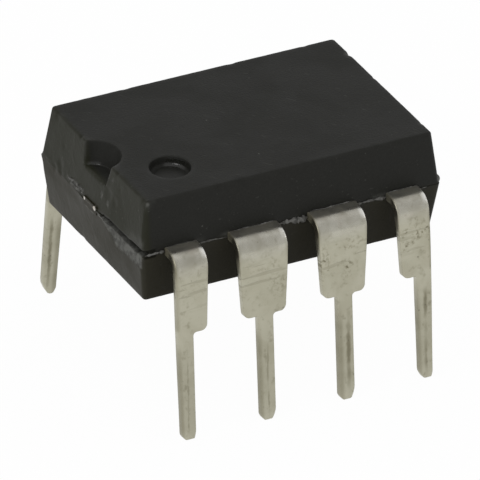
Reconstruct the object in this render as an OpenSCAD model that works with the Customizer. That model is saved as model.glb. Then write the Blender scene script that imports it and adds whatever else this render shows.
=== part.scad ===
// Integrated circuit in an eight-lead dual in-line package: an epoxy body moulded round a stamped lead
// frame, with the die, its bonding layer and its gold wires inside.
// Origin: middle of the plane that the lead tips stand on. X runs along the body with the end notch
// at -X, leads 1 to 4 are on the -Y side from -X to +X, 5 to 8 come back on the +Y side, and Z is up.
// Sizes are in millimetres. Heights of the body and the lead frame count from the parting plane,
// where the two mould halves meet on the frame.

/* [Moulded body] */
// Distance from the middle of the end leads to the end of the body, at the parting plane
end_margin = 0.95; // [0.8:0.01:1.2]
// Height of the upper half
upper_h = 1.64; // [1.4:0.01:2.2]
// Depth of the lower half
lower_h = 1.56; // [1.2:0.01:2.2]
// Draft of the two end walls in degrees
end_draft = 7.4; // [3:0.1:10]
// Draft of the two long walls in degrees
side_draft = 6.2; // [3:0.1:10]
// Radius of the four upright corners
corner_r = 0.14; // [0.12:0.01:0.5]
// Radius of the upper and lower rims
rim_r = 0.08; // [0.03:0.01:0.1]
// How far the lower half stands out past the upper one all round
mould_step = 0.02; // [0.01:0.01:0.05]

/* [Notch, marks and gate] */
// Radius of the end notch at the top face
notch_r = 0.84; // [0.5:0.01:1.1]
// Depth of the end notch
notch_depth = 0.68; // [0.3:0.01:0.9]
// Radius between the floor and the wall of the end notch
notch_fillet = 0.08; // [0.03:0.01:0.15]
// Draft of the end notch in degrees
notch_draft = 15; // [4:0.5:20]
// Diameter of the round mark beside lead 1
mark_d = 1.2; // [0.8:0.01:1.5]
// Depth of the round mark
mark_depth = 0.26; // [0.1:0.01:0.4]
// Radius between the floor and the wall of the round mark
mark_fillet = 0.12; // [0.03:0.01:0.2]
// Distance of the mark from the notch end
mark_from_end = 1.69; // [1.5:0.01:2.6]
// Distance of the mark from the side of leads 1 to 4
mark_from_side = 1.62; // [1.3:0.01:2.2]
// Draft of the round mark and the ejector marks in degrees
pocket_draft = 6; // [2:0.5:12]
// Diameter of each ejector mark in the underside
ejector_d = 1.5; // [0.8:0.05:2]
// Depth of the ejector marks
ejector_depth = 0.06; // [0.02:0.01:0.2]
// Distance between the two ejector marks
ejector_span = 4.8; // [3:0.1:6]
// Length of the scar where the mould's gate was broken off, along the notch end
gate_l = 2.4; // [1.5:0.05:3]
// Height of the gate scar at the corner that it starts from
gate_h = 0.42; // [0.2:0.01:0.6]
// Depth of the gate scar at that corner, on the parting plane
gate_in = 0.12; // [0.08:0.01:0.2]
// Radius of the stub of epoxy that the mould's air vent left on the far end
vent_r = 0.17; // [0.1:0.01:0.3]
// How far the vent stub stands out of the end wall
vent_out = 0.1; // [0.04:0.01:0.2]
// Distance of the vent stub from the side of leads 1 to 4
vent_from_side = 0.34; // [0.3:0.01:0.8]

/* [Leads outside the body] */
// Distance between neighbouring leads
lead_pitch = 2.54; // [2.54:0.01:2.6]
// Distance over the outer faces of the two rows, at the parting plane
row_w = 7.75; // [7.4:0.01:8.6]
// Length of the level part of each lead between the side of the body and the bend
shoulder_l = 0.2466; // [0.15:0.0001:0.5]
// Thickness of the lead frame
frame_t = 0.25; // [0.2:0.01:0.3]
// Width of a lead below its step
pin_w = 0.48; // [0.36:0.01:0.56]
// Width of a full lead where it leaves the body
shoulder_w = 1.56; // [1.2:0.01:1.65]
// Width of a full lead just above its step
step_w = 1.38; // [1.1:0.01:1.6]
// Depth of the step below the parting plane
step_drop = 2.3; // [1.8:0.01:2.8]
// Depth of the tips below the parting plane
tip_drop = 5.61; // [4.6:0.01:6.4]
// Radius of the outer corners of the step
step_r = 0.2; // [0.08:0.01:0.3]
// Radius of the inner corners of the step
step_fillet = 0.1; // [0.04:0.01:0.15]
// Length of the tapered tip
tip_l = 0.22; // [0.1:0.01:0.6]
// Width of the tip's flat end
tip_w = 0.24; // [0.1:0.01:0.3]
// Radius inside the bend
bend_r = 0.27; // [0.1:0.01:0.35]
// Outward lean of the leads in degrees
splay = 6.5; // [2:0.5:12]

/* [Lead frame inside the body] */
// Length of the die paddle
paddle_l = 3.2; // [2.4:0.05:3.6]
// Width of the die paddle
paddle_w = 2.4; // [1.8:0.05:2.8]
// How far the paddle is set below the leads
paddle_drop = 0.2; // [0.05:0.01:0.4]
// Length of each sloping part between tie bar and paddle
jog_l = 0.35; // [0.2:0.01:0.6]
// Straight part of each tie bar between paddle and slope
tie_root = 0.3; // [0.1:0.01:0.6]
// Width of the tie bars
tie_w = 0.78; // [0.5:0.01:1]
// How far the cut ends of the tie bars stand out of the body
tie_out = 0.05; // [0.02:0.01:0.1]
// Gap between the paddle or its tie bars and the inner ends of the leads
finger_gap = 0.3; // [0.2:0.01:0.4]
// Width of the inner end of each middle lead
finger_w = 1.0; // [0.6:0.01:1.3]
// Width of the inner end of each corner lead
corner_finger_w = 0.5; // [0.35:0.01:0.6]
// Length of the inner end of each corner lead
corner_finger_l = 0.6; // [0.4:0.01:0.8]
// Diameter of the hole that locks each lead in the epoxy
anchor_d = 0.46; // [0.3:0.01:0.55]
// Distance of that hole from the body's side
anchor_in = 0.55; // [0.4:0.01:0.7]

/* [Die and bond wires] */
// Length of the die
die_l = 1.7; // [1.2:0.05:2.1]
// Width of the die
die_w = 1.4; // [1:0.05:1.6]
// Thickness of the die
die_t = 0.28; // [0.2:0.01:0.38]
// Thickness of the bonding layer under the die
attach_t = 0.03; // [0.02:0.01:0.05]
// How far the bonding layer reaches out from under the die
attach_rim = 0.1; // [0.05:0.01:0.15]
// Distance of the bond pads from the edges of the die
pad_in = 0.12; // [0.08:0.01:0.2]
// Diameter of a bond wire
wire_d = 0.033; // [0.025:0.001:0.05]
// Diameter of the ball bond on the die
ball_d = 0.085; // [0.07:0.005:0.12]
// Height of the ball bond
ball_h = 0.025; // [0.015:0.005:0.04]
// Height of the wire's loop over the die
loop_h = 0.2; // [0.12:0.01:0.35]
// Distance of the wire's outer end from the tip of its finger
stitch_in = 0.2; // [0.12:0.01:0.3]

/* [Hidden] */

$fn = 64;
arc_steps = 5;         // segments in each rounded corner of an outline
wire_steps = 8;        // segments along a bond wire
wire_sides = 8;        // sides of a bond wire
over = 0.5;            // how far a cutter reaches past the face that it cuts

rows = 4;              // leads on each side
half_t = frame_t / 2;
outer_r = bend_r + frame_t;

// The bend turns the lead from level to its outward lean about a line below its level part. The line
// lies where the outer face of the leaning part meets the parting plane at half of row_w.
bend_z = -(half_t + bend_r);
bend_y = row_w / 2 - outer_r * cos(splay) - tan(splay) * (outer_r * sin(splay) + bend_z);

// The upper half of the body at the parting plane reaches past the end leads, and its sides stand
// back from the bends by the level part of the leads.
half_l = (rows - 1) / 2 * lead_pitch + end_margin;
half_w = bend_y - shoulder_l;
body_l = 2 * half_l;
body_w = 2 * half_w;

// Lengths along the leaning part, from the end of the bend
step_at = (step_drop + bend_z + (bend_r + half_t) * sin(splay)) / cos(splay);
tip_at = (tip_drop + bend_z + bend_r * sin(splay)) / cos(splay);

// Inner ends of the leads
middle_tip_y = paddle_w / 2 + finger_gap;
corner_tip_x = paddle_l / 2 + finger_gap;
corner_tip_y = tie_w / 2 + finger_gap;

paddle_top = half_t - paddle_drop;
die_bottom = paddle_top + attach_t;
die_top = die_bottom + die_t;

body_black = [0.19, 0.19, 0.18];
tin_grey = [0.71, 0.70, 0.64];
copper = [0.72, 0.45, 0.30];
silver_paste = [0.62, 0.62, 0.60];
silicon_blue = [0.33, 0.36, 0.42];
gold = [0.86, 0.68, 0.28];

// Centre of lead k along the body: 1 to 4 run towards +X, 5 to 8 come back
function lead_x(k) = (k <= rows ? k - (rows + 1) / 2 : (3 * rows + 1) / 2 - k) * lead_pitch;
function is_corner(k) = k == 1 || k == rows || k == rows + 1 || k == 2 * rows;
function on_far_side(k) = k > rows;

// Points on an arc about c, with both ends
function arc(c, r, from, to, steps = arc_steps) =
  [for (i = [0:steps]) let (a = from + (to - from) * i / steps) c + r * [cos(a), sin(a)]];

// Outline of a rounded rectangle at height z, as points in space
function ring(l, w, r, z) = [
  for (q = [0:3])
    let (sx = q == 0 || q == 3 ? 1 : -1, sy = q < 2 ? 1 : -1, c = [sx * (l / 2 - r), sy * (w / 2 - r)])
      for (p = arc(c, r, 90 * q, 90 * q + 90)) [p.x, p.y, z]
];

// Closed solid through a list of rings that all have the same number of points, turning
// counter-clockwise as seen from the last ring
module loft(rings) {
  n = len(rings[0]);
  last = (len(rings) - 1) * n;
  sides = [
    for (j = [0:len(rings) - 2], i = [0:n - 1])
      let (a = j * n + i, b = j * n + (i + 1) % n, c = b + n, d = a + n)
        each [[a, d, c], [a, c, b]]
  ];
  caps = [[for (i = [0:n - 1]) i], [for (i = [n - 1:-1:0]) last + i]];
  polyhedron([for (one = rings) each one], concat(sides, caps), convexity = 4);
}

// Rings of one mould half from the parting plane to its outer face, where the wall turns in over
// the rim. The half grows by out all round.
function half_rings(height, out) =
  let (
    l_at_rim = body_l + 2 * out - 2 * (height - rim_r) * tan(end_draft),
    w_at_rim = body_w + 2 * out - 2 * (height - rim_r) * tan(side_draft)
  )
  concat(
    [ring(body_l + 2 * out, body_w + 2 * out, corner_r, 0)],
    [
      for (i = [0:arc_steps])
        let (a = 90 * i / arc_steps, in = rim_r * (1 - cos(a)))
          ring(l_at_rim - 2 * in, w_at_rim - 2 * in, corner_r - in, height - rim_r * (1 - sin(a)))
    ]
  );

// The same rings turned over to lie below the parting plane, from the lowest one up
function turned_over(rings) =
  [for (j = [len(rings) - 1:-1:0]) [for (p = rings[j]) [p.x, p.y, -p.z]]];

// Round pocket with its mouth on the plane z = 0, drafted walls and a filleted floor
module pocket(d, depth, fillet, draft = pocket_draft) {
  floor_r = d / 2 - depth * tan(draft);
  rotate_extrude()
    polygon(concat(
      [[0, over], [d / 2 + over * tan(draft), over]],
      arc([floor_r - fillet, fillet - depth], fillet, 0, -90),
      [[0, -depth]]
    ));
}

// Section of the gate scar's cutter at y, in a share of its full size: its sloping face runs from
// the parting plane out to the drafted end wall of the lower half
function gate_section(y, share) =
  let (
    wall_x = -half_l - mould_step,
    top = [wall_x + gate_in * share, 0],
    foot = [wall_x + gate_h * share * tan(end_draft), -gate_h * share],
    past_foot = top + (foot - top) * 1.05,
    section = [top, past_foot, [wall_x - over, past_foot.y], [wall_x - over, 0]]
  )
  [for (p = section) [p.x, y, p.y]];

// Chip that the gate took out of the lower half, from the corner near lead 1 along the notch end
module gate_scar() {
  loft([
    gate_section(-half_w - over, 1 + over / gate_l),
    gate_section(gate_l - half_w, 0.01)
  ]);
}

// Stub of epoxy from the air vent, above the parting plane
module vent_stub() {
  translate([half_l - over, vent_from_side - half_w, vent_r + mould_step])
    rotate([0, 90, 0])
      cylinder(r = vent_r, h = over + vent_out);
}

// Everything that the epoxy is moulded round
module inserts() {
  for (k = [1:2 * rows]) {
    place_lead(k) lead_plate(is_corner(k));
    bond_wire(k);
  }
  paddle_plate();
  attach_layer();
  die_block();
}

module moulded_body() {
  color(body_black)
    translate([0, 0, tip_drop])
      difference() {
        union() {
          loft(half_rings(upper_h, 0));
          difference() {
            loft(turned_over(half_rings(lower_h, mould_step)));
            gate_scar();
          }
          vent_stub();
        }
        translate([-half_l, 0, upper_h])
          pocket(2 * notch_r, notch_depth, notch_fillet, notch_draft);
        translate([mark_from_end - half_l, mark_from_side - half_w, upper_h])
          pocket(mark_d, mark_depth, mark_fillet);
        for (side = [-1, 1])
          translate([side * ejector_span / 2, 0, -lower_h])
            rotate([180, 0, 0])
              pocket(ejector_d, ejector_depth, ejector_depth / 2);
        inserts();
      }
}

// Level part of a lead, drawn for the +Y side with the middle of the body towards +X: a finger
// inside the epoxy, its locking hole and the shoulder up to the bend. A corner lead has only the
// inner half of its shoulder, and turns in beside the paddle.
module lead_plate(corner) {
  inner = shoulder_w / 2;
  outer = corner ? -pin_w / 2 : -inner;
  to_middle = (rows - 1) / 2 * lead_pitch - corner_tip_x;
  straight_y = half_w - anchor_in - anchor_d / 2;
  corner_outline = [
    [outer, bend_y], [outer, straight_y - anchor_d], [to_middle - corner_finger_l, corner_tip_y],
    [to_middle, corner_tip_y], [to_middle, corner_tip_y + corner_finger_w],
    [to_middle - corner_finger_l, corner_tip_y + corner_finger_w], [inner, straight_y], [inner, bend_y]
  ];
  middle_outline = [
    [outer, bend_y], [outer, straight_y], [-finger_w / 2, middle_tip_y],
    [finger_w / 2, middle_tip_y], [inner, straight_y], [inner, bend_y]
  ];
  // The outline is set out from the bend, so that the plate ends exactly where the bend starts
  translate([0, bend_y, -half_t])
    difference() {
      linear_extrude(frame_t)
        polygon([for (p = corner ? corner_outline : middle_outline) p - [0, bend_y]]);
      translate([(inner + outer) / 2, half_w - anchor_in - bend_y, -over])
        cylinder(d = anchor_d, h = frame_t + 2 * over);
    }
}

// Carries what is drawn about the line that the lead is bent about, with the leaning part towards -Y
// and the distance from the line along X
module about_bend() {
  translate([0, bend_y, bend_z])
    rotate([90, 0, 90])
      rotate([0, 0, splay])
        children();
}

// Bend at constant thickness from the level part into the leaning part
module lead_bend(corner) {
  inner = shoulder_w / 2;
  outer = corner ? pin_w / 2 : inner;
  about_bend()
    rotate_extrude(angle = 90 - splay)
      translate([bend_r, -outer])
        square([frame_t, outer + inner]);
}

// One edge of a full lead from the bend down to the tip: a tapering wide part, the rounded step and
// the narrow pin
function stepped_edge() = concat(
  [[shoulder_w / 2, 0]],
  arc([step_w / 2 - step_r, step_at - step_r], step_r, 0, 90),
  arc([pin_w / 2 + step_fillet, step_at + step_fillet], step_fillet, 270, 180),
  [[pin_w / 2, tip_at - tip_l], [tip_w / 2, tip_at]]
);

// Outer edge of a corner lead, which has no step
function plain_edge() = [[pin_w / 2, 0], [pin_w / 2, tip_at - tip_l], [tip_w / 2, tip_at]];

function reversed(points) = [for (i = [len(points) - 1:-1:0]) points[i]];
function mirrored(points) = [for (p = points) [-p.x, p.y]];

// Leaning part of a lead, with its outline in the plane of the sheet
module lead_shank(corner) {
  outer_edge = corner ? plain_edge() : stepped_edge();
  about_bend()
    translate([bend_r, 0, 0])
      rotate([180, -90, 0])
        linear_extrude(frame_t)
          polygon(concat(stepped_edge(), reversed(mirrored(outer_edge))));
}

// Carries a lead drawn for the +Y side and the -X end to its own side and end
module place_lead(k) {
  translate([lead_x(k), 0, 0])
    mirror([lead_x(k) > 0 ? 1 : 0, 0, 0])
      mirror([0, on_far_side(k) ? 0 : 1, 0])
        children();
}

module lead(k) {
  color(tin_grey)
    translate([0, 0, tip_drop])
      place_lead(k) {
        lead_plate(is_corner(k));
        lead_bend(is_corner(k));
        lead_shank(is_corner(k));
      }
}

// Tie bars from end to end, stepping down to the level of the paddle between them
module paddle_plate() {
  root_x = paddle_l / 2 + tie_root;
  slope_x = root_x + jog_l;
  end_x = half_l + tie_out;
  half_profile = [[root_x, -paddle_drop], [slope_x, 0], [end_x, 0]];
  upper_edge = concat(reversed(mirrored(half_profile)), half_profile);
  rotate([90, 0, 0])
    linear_extrude(tie_w, center = true)
      polygon(concat(
        [for (p = upper_edge) p + [0, half_t]],
        [for (p = reversed(upper_edge)) p - [0, half_t]]
      ));
  translate([-paddle_l / 2, -paddle_w / 2, -paddle_drop - half_t])
    cube([paddle_l, paddle_w, frame_t]);
}

module die_paddle() {
  color(copper)
    translate([0, 0, tip_drop])
      paddle_plate();
}

module attach_layer() {
  l = die_l + 2 * attach_rim;
  w = die_w + 2 * attach_rim;
  translate([-l / 2, -w / 2, paddle_top])
    cube([l, w, attach_t]);
}

module die_attach() {
  color(silver_paste)
    translate([0, 0, tip_drop])
      attach_layer();
}

module die_block() {
  translate([-die_l / 2, -die_w / 2, die_bottom])
    cube([die_l, die_w, die_t]);
}

module silicon_die() {
  color(silicon_blue)
    translate([0, 0, tip_drop])
      die_block();
}

// Where the wire of a lead on the +Y side and the -X end stands on the die and on the finger
function pad_place(corner) = corner
  ? [pad_in - die_l / 2, die_w / 2 - 2 * pad_in - ball_d]
  : [-die_l / 4, die_w / 2 - pad_in];
function stitch_place(corner) = corner
  ? [-corner_tip_x - stitch_in, corner_tip_y + corner_finger_w / 2]
  : [-lead_pitch / 2, middle_tip_y + stitch_in];

// Height and slope of the wire over a run of length l: it leaves the ball upright, loops over and
// comes down on the finger, on a cubic curve
function bezier(p, t) =
  p[0] * pow(1 - t, 3) + 3 * p[1] * t * pow(1 - t, 2) + 3 * p[2] * pow(t, 2) * (1 - t) + p[3] * pow(t, 3);
function bezier_slope(p, t) =
  3 * (p[1] - p[0]) * pow(1 - t, 2) + 6 * (p[2] - p[1]) * t * (1 - t) + 3 * (p[3] - p[2]) * pow(t, 2);

// Ring about point p of the wire's upright plane, square to the direction n in that plane. along is
// the level direction of the wire, and across is square to its plane.
function wire_ring(start, along, across, p, n, r) = [
  for (i = [0:wire_sides - 1])
    let (a = 360 * i / wire_sides, in_plane = p + r * cos(a) * n, out = r * sin(a) * across)
      [start.x, start.y, 0] + in_plane.x * along + [0, 0, in_plane.y] + out
];

// Bond wire with its ball on the die and its end cut level on the finger
module bond_wire(k) {
  corner = is_corner(k);
  mirror_x = lead_x(k) > 0 ? -1 : 1;
  mirror_y = on_far_side(k) ? 1 : -1;
  start = [pad_place(corner).x * mirror_x, pad_place(corner).y * mirror_y];
  end = [stitch_place(corner).x * mirror_x, stitch_place(corner).y * mirror_y];
  run = norm(end - start);
  along = [(end - start).x, (end - start).y, 0] / run;
  across = [along.y, -along.x, 0];
  ball_top = die_top + ball_h;
  curve = [[0, ball_top], [0, die_top + loop_h * 4 / 3], [run * 0.45, die_top + loop_h * 4 / 3], [run, half_t]];
  landing = bezier_slope(curve, 1);
  level_cut = norm(landing) / abs(landing.y);
  loft(concat(
    [wire_ring(start, along, across, [0, die_top], [1, 0], ball_d / 2)],
    [wire_ring(start, along, across, [0, ball_top], [1, 0], ball_d / 2)],
    [
      for (i = [0:wire_steps - 1])
        let (t = i / wire_steps, s = bezier_slope(curve, t), n = [s.y, -s.x] / norm(s))
          wire_ring(start, along, across, bezier(curve, t), n, wire_d / 2)
    ],
    [wire_ring(start, along, across, [run, half_t], [-level_cut, 0], wire_d / 2)]
  ));
}

module gold_wire(k) {
  color(gold)
    translate([0, 0, tip_drop])
      bond_wire(k);
}

moulded_body();
lead(1);  // lead_1
lead(2);  // lead_2
lead(3);  // lead_3
lead(4);  // lead_4
lead(5);  // lead_5
lead(6);  // lead_6
lead(7);  // lead_7
lead(8);  // lead_8
die_paddle();
die_attach();
silicon_die();
gold_wire(1);  // bond_wire_1
gold_wire(2);  // bond_wire_2
gold_wire(3);  // bond_wire_3
gold_wire(4);  // bond_wire_4
gold_wire(5);  // bond_wire_5
gold_wire(6);  // bond_wire_6
gold_wire(7);  // bond_wire_7
gold_wire(8);  // bond_wire_8
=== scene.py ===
# Eight-lead dual in-line chip: black epoxy moulded in two halves round a stamped, tinned lead frame.
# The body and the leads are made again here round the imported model. What lies inside the epoxy
# keeps its CAD shape and gets its finish.
import math

import bmesh
import bpy
from mathutils import Matrix, Vector, noise
from mathutils.geometry import delaunay_2d_cdt
from mathutils.kdtree import KDTree


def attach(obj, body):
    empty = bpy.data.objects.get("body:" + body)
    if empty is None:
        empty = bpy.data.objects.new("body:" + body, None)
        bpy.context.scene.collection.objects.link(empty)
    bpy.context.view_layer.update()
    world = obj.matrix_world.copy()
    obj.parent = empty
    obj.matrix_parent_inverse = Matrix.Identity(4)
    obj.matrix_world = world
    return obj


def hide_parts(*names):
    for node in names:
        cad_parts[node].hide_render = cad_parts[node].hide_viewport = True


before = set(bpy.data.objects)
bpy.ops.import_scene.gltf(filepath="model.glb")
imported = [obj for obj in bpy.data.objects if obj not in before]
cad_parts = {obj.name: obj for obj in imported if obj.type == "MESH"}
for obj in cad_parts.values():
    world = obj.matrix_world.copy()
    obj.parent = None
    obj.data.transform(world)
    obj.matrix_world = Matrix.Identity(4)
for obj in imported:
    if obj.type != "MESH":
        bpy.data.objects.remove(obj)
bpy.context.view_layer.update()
print("frame loaded:", len(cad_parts), "nodes")

mm = 0.001
partingHeight = 5.61  # of the plane where the mould halves meet, over the lead tips


# ---- small helpers ----

def toFrame(x, y, z):
    # Sizes below are in mm, with heights from the parting plane
    return Vector((x * mm, y * mm, (z + partingHeight) * mm))


def tangent(degrees):
    return math.tan(math.radians(degrees))


def mix(a, b, share):
    return a + (b - a) * share


def smooth(value, low, high):
    # 0 below low, 1 above high, with soft ends
    share = min(max((value - low) / (high - low), 0.0), 1.0)
    return share * share * (3 - 2 * share)


def steps(start, end, spacing):
    # Even places between start and end, without the ends
    count = max(int(round(abs(end - start) / spacing)), 1)
    return [start + (end - start) * i / count for i in range(1, count)]


def steady(x, y, z, scale, seed=0.0):
    # Noise between -1 and 1 at a place in mm, the same on each run
    return noise.noise(Vector((x * scale + seed, y * scale - seed, z * scale + 2 * seed)))


def meshObject(name, bm, material, mergeGap=1e-5):
    bmesh.ops.remove_doubles(bm, verts=bm.verts, dist=mergeGap * mm)
    bmesh.ops.dissolve_degenerate(bm, edges=bm.edges, dist=mergeGap * mm)
    mesh = bpy.data.meshes.new(name)
    bm.to_mesh(mesh)
    bm.free()
    mesh.materials.append(material)
    piece = bpy.data.objects.new(name, mesh)
    bpy.context.scene.collection.objects.link(piece)
    return piece


def keepSharp(bm, degrees):
    # Smooth shading with a crease at each edge that turns more than this
    for face in bm.faces:
        face.smooth = True
    for edge in bm.edges:
        if len(edge.link_faces) == 2:
            edge.smooth = edge.calc_face_angle() < math.radians(degrees)


# ---- shader nodes ----

def addNode(tree, kind, inputs=None, **settings):
    node = tree.nodes.new(kind)
    for name, value in settings.items():
        setattr(node, name, value)
    for name, value in (inputs or {}).items():
        if isinstance(value, bpy.types.NodeSocket):
            tree.links.new(value, node.inputs[name])
        else:
            node.inputs[name].default_value = value
    return node


def calc(tree, operation, a, b=0.0, clamp=False):
    node = addNode(tree, "ShaderNodeMath", {0: a, 1: b}, operation=operation, use_clamp=clamp)
    return node.outputs[0]


def ramp(tree, value, low, high, toLow=0.0, toHigh=1.0):
    settings = {"Value": value, "From Min": low, "From Max": high, "To Min": toLow, "To Max": toHigh}
    node = addNode(tree, "ShaderNodeMapRange", settings, interpolation_type="SMOOTHSTEP")
    return node.outputs["Result"]


def blendColour(tree, share, a, b, how="MIX"):
    node = addNode(tree, "ShaderNodeMix", {0: share, 6: a, 7: b}, data_type="RGBA", blend_type=how)
    return node.outputs[2]


def colour(r, g, b):
    return (r, g, b, 1.0)


def newGroup(name, inputs, outputs):
    group = bpy.data.node_groups.new(name, "ShaderNodeTree")
    for label, kind, value in inputs:
        socket = group.interface.new_socket(label, in_out="INPUT", socket_type=kind)
        socket.default_value = value
    for label, kind in outputs:
        group.interface.new_socket(label, in_out="OUTPUT", socket_type=kind)
    start = group.nodes.new("NodeGroupInput")
    end = group.nodes.new("NodeGroupOutput")
    return group, start.outputs, end


def useGroup(tree, group, inputs):
    node = tree.nodes.new("ShaderNodeGroup")
    node.node_tree = group
    for name, value in inputs.items():
        if isinstance(value, bpy.types.NodeSocket):
            tree.links.new(value, node.inputs[name])
        else:
            node.inputs[name].default_value = value
    return node.outputs


def makeGrainGroup():
    # Fine pitted grain: a height for the bump and a shade for the colour
    group, given, end = newGroup(
        "fineGrain",
        [("Vector", "NodeSocketVector", (0, 0, 0)), ("Grains per mm", "NodeSocketFloat", 20.0),
         ("Coarse share", "NodeSocketFloat", 0.4)],
        [("Height", "NodeSocketFloat"), ("Shade", "NodeSocketFloat")])
    perMetre = calc(group, "MULTIPLY", given["Grains per mm"], 1000.0)
    fine = addNode(group, "ShaderNodeTexNoise",
                   {"Vector": given["Vector"], "Scale": perMetre, "Detail": 3.0, "Roughness": 0.6})
    coarseScale = calc(group, "MULTIPLY", perMetre, 0.22)
    coarse = addNode(group, "ShaderNodeTexNoise",
                     {"Vector": given["Vector"], "Scale": coarseScale, "Detail": 2.0, "Roughness": 0.5})
    height = addNode(group, "ShaderNodeMix",
                     {0: given["Coarse share"], 2: fine.outputs["Fac"], 3: coarse.outputs["Fac"]})
    group.links.new(height.outputs[0], end.inputs["Height"])
    group.links.new(ramp(group, fine.outputs["Fac"], 0.3, 0.7), end.inputs["Shade"])
    return group


def makeSpeckGroup():
    # Scattered small spots: each cell of the pattern has one spot, and only a share of them shows
    group, given, end = newGroup(
        "specks",
        [("Vector", "NodeSocketVector", (0, 0, 0)), ("Cells per mm", "NodeSocketFloat", 2.0),
         ("Share", "NodeSocketFloat", 0.2), ("Radius", "NodeSocketFloat", 0.12)],
        [("Mask", "NodeSocketFloat")])
    perMetre = calc(group, "MULTIPLY", given["Cells per mm"], 1000.0)
    cells = addNode(group, "ShaderNodeTexVoronoi",
                    {"Vector": given["Vector"], "Scale": perMetre, "Randomness": 1.0})
    wobble = addNode(group, "ShaderNodeTexNoise",
                     {"Vector": given["Vector"], "Scale": calc(group, "MULTIPLY", perMetre, 6.0), "Detail": 2.0})
    radius = calc(group, "MULTIPLY", given["Radius"], ramp(group, wobble.outputs["Fac"], 0.25, 0.75, 0.3, 1.7))
    spot = addNode(group, "ShaderNodeMapRange",
                   {"Value": cells.outputs["Distance"], "From Min": radius,
                    "From Max": calc(group, "MULTIPLY", radius, 0.6), "To Min": 0.0, "To Max": 1.0},
                   interpolation_type="SMOOTHSTEP")
    pick = addNode(group, "ShaderNodeSeparateColor", {"Color": cells.outputs["Color"]})
    chosen = calc(group, "LESS_THAN", pick.outputs[0], given["Share"])
    strength = ramp(group, pick.outputs[1], 0.0, 1.0, 0.35, 1.0)
    mask = calc(group, "MULTIPLY", calc(group, "MULTIPLY", spot.outputs["Result"], chosen), strength)
    group.links.new(mask, end.inputs["Mask"])
    return group


def makeSmudgeGroup():
    # Soft uneven patches, as from handling or flux
    group, given, end = newGroup(
        "smudge",
        [("Vector", "NodeSocketVector", (0, 0, 0)), ("Patches per mm", "NodeSocketFloat", 1.0),
         ("Low", "NodeSocketFloat", 0.45), ("High", "NodeSocketFloat", 0.7),
         ("Distortion", "NodeSocketFloat", 0.4)],
        [("Mask", "NodeSocketFloat")])
    perMetre = calc(group, "MULTIPLY", given["Patches per mm"], 1000.0)
    patches = addNode(group, "ShaderNodeTexNoise",
                      {"Vector": given["Vector"], "Scale": perMetre, "Detail": 4.0, "Roughness": 0.55,
                       "Distortion": given["Distortion"]})
    mask = addNode(group, "ShaderNodeMapRange",
                   {"Value": patches.outputs["Fac"], "From Min": given["Low"], "From Max": given["High"],
                    "To Min": 0.0, "To Max": 1.0}, interpolation_type="SMOOTHSTEP")
    group.links.new(mask.outputs["Result"], end.inputs["Mask"])
    return group


def makeScratchGroup():
    # Thin broken lines that run along one direction of the pattern
    group, given, end = newGroup(
        "scratches",
        [("Vector", "NodeSocketVector", (0, 0, 0)), ("Turn", "NodeSocketFloat", 0.0),
         ("Lines per mm", "NodeSocketFloat", 4.0), ("Length", "NodeSocketFloat", 12.0),
         ("Cut", "NodeSocketFloat", 0.66)],
        [("Mask", "NodeSocketFloat")])
    turned = addNode(group, "ShaderNodeVectorRotate",
                     {"Vector": given["Vector"], "Angle": given["Turn"]}, rotation_type="Z_AXIS")
    perMetre = calc(group, "MULTIPLY", given["Lines per mm"], 1000.0)
    along = calc(group, "DIVIDE", perMetre, given["Length"])
    scale = addNode(group, "ShaderNodeCombineXYZ", {"X": along, "Y": perMetre, "Z": perMetre})
    drawn = addNode(group, "ShaderNodeVectorMath", {0: turned.outputs[0], 1: scale.outputs[0]},
                    operation="MULTIPLY")
    lines = addNode(group, "ShaderNodeTexNoise",
                    {"Vector": drawn.outputs[0], "Scale": 1.0, "Detail": 1.0, "Roughness": 0.4})
    mask = addNode(group, "ShaderNodeMapRange",
                   {"Value": lines.outputs["Fac"], "From Min": given["Cut"],
                    "From Max": calc(group, "ADD", given["Cut"], 0.05), "To Min": 0.0, "To Max": 1.0},
                   interpolation_type="SMOOTHSTEP")
    group.links.new(mask.outputs["Result"], end.inputs["Mask"])
    return group


grain = makeGrainGroup()
specks = makeSpeckGroup()
smudge = makeSmudgeGroup()
scratches = makeScratchGroup()


def newMaterial(name, viewColour):
    material = bpy.data.materials.new(name)
    material.use_nodes = True
    material.diffuse_color = viewColour
    tree = material.node_tree
    tree.nodes.clear()
    end = tree.nodes.new("ShaderNodeOutputMaterial")
    shader = tree.nodes.new("ShaderNodeBsdfPrincipled")
    tree.links.new(shader.outputs[0], end.inputs["Surface"])
    place = tree.nodes.new("ShaderNodeTexCoord").outputs["Object"]
    return material, tree, shader, place


def setShader(tree, shader, **inputs):
    for name, value in inputs.items():
        label = {"colour": "Base Color", "roughness": "Roughness", "metallic": "Metallic",
                 "specular": "Specular IOR Level", "normal": "Normal"}[name]
        if isinstance(value, bpy.types.NodeSocket):
            tree.links.new(value, shader.inputs[label])
        else:
            shader.inputs[label].default_value = value


def bump(tree, height, distance, strength=1.0, under=None):
    inputs = {"Height": height, "Distance": distance * mm, "Strength": strength}
    if under is not None:
        inputs["Normal"] = under
    return addNode(tree, "ShaderNodeBump", inputs).outputs["Normal"]


epoxyLook = {
    "dark": colour(0.0085, 0.0086, 0.0070),
    "pale": colour(0.0135, 0.0136, 0.0112),
    "warm": colour(0.0190, 0.0168, 0.0093),  # tint of the lower half, also lighter as painted light from below
    "olive": colour(0.0112, 0.0118, 0.0040), # tint of the notch end
    "worn": colour(0.045, 0.045, 0.041),
    "speck": colour(0.11, 0.11, 0.10),
    "breakAndPaintedLight": colour(0.100, 0.101, 0.092),    # where a piece of it broke off, and painted light on a facet at the far corner
    "breakAndPaintedLightDark": colour(0.055, 0.055, 0.050),
    "roughness": 0.50,
    "specular": 0.15,
    "polishedRoughness": 0.17,               # in the pockets, as the tool left them
    "polishedSpecular": 0.40,
    "grainsPerMm": 16.0,
    "grainHeight": 0.010,
}


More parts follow.
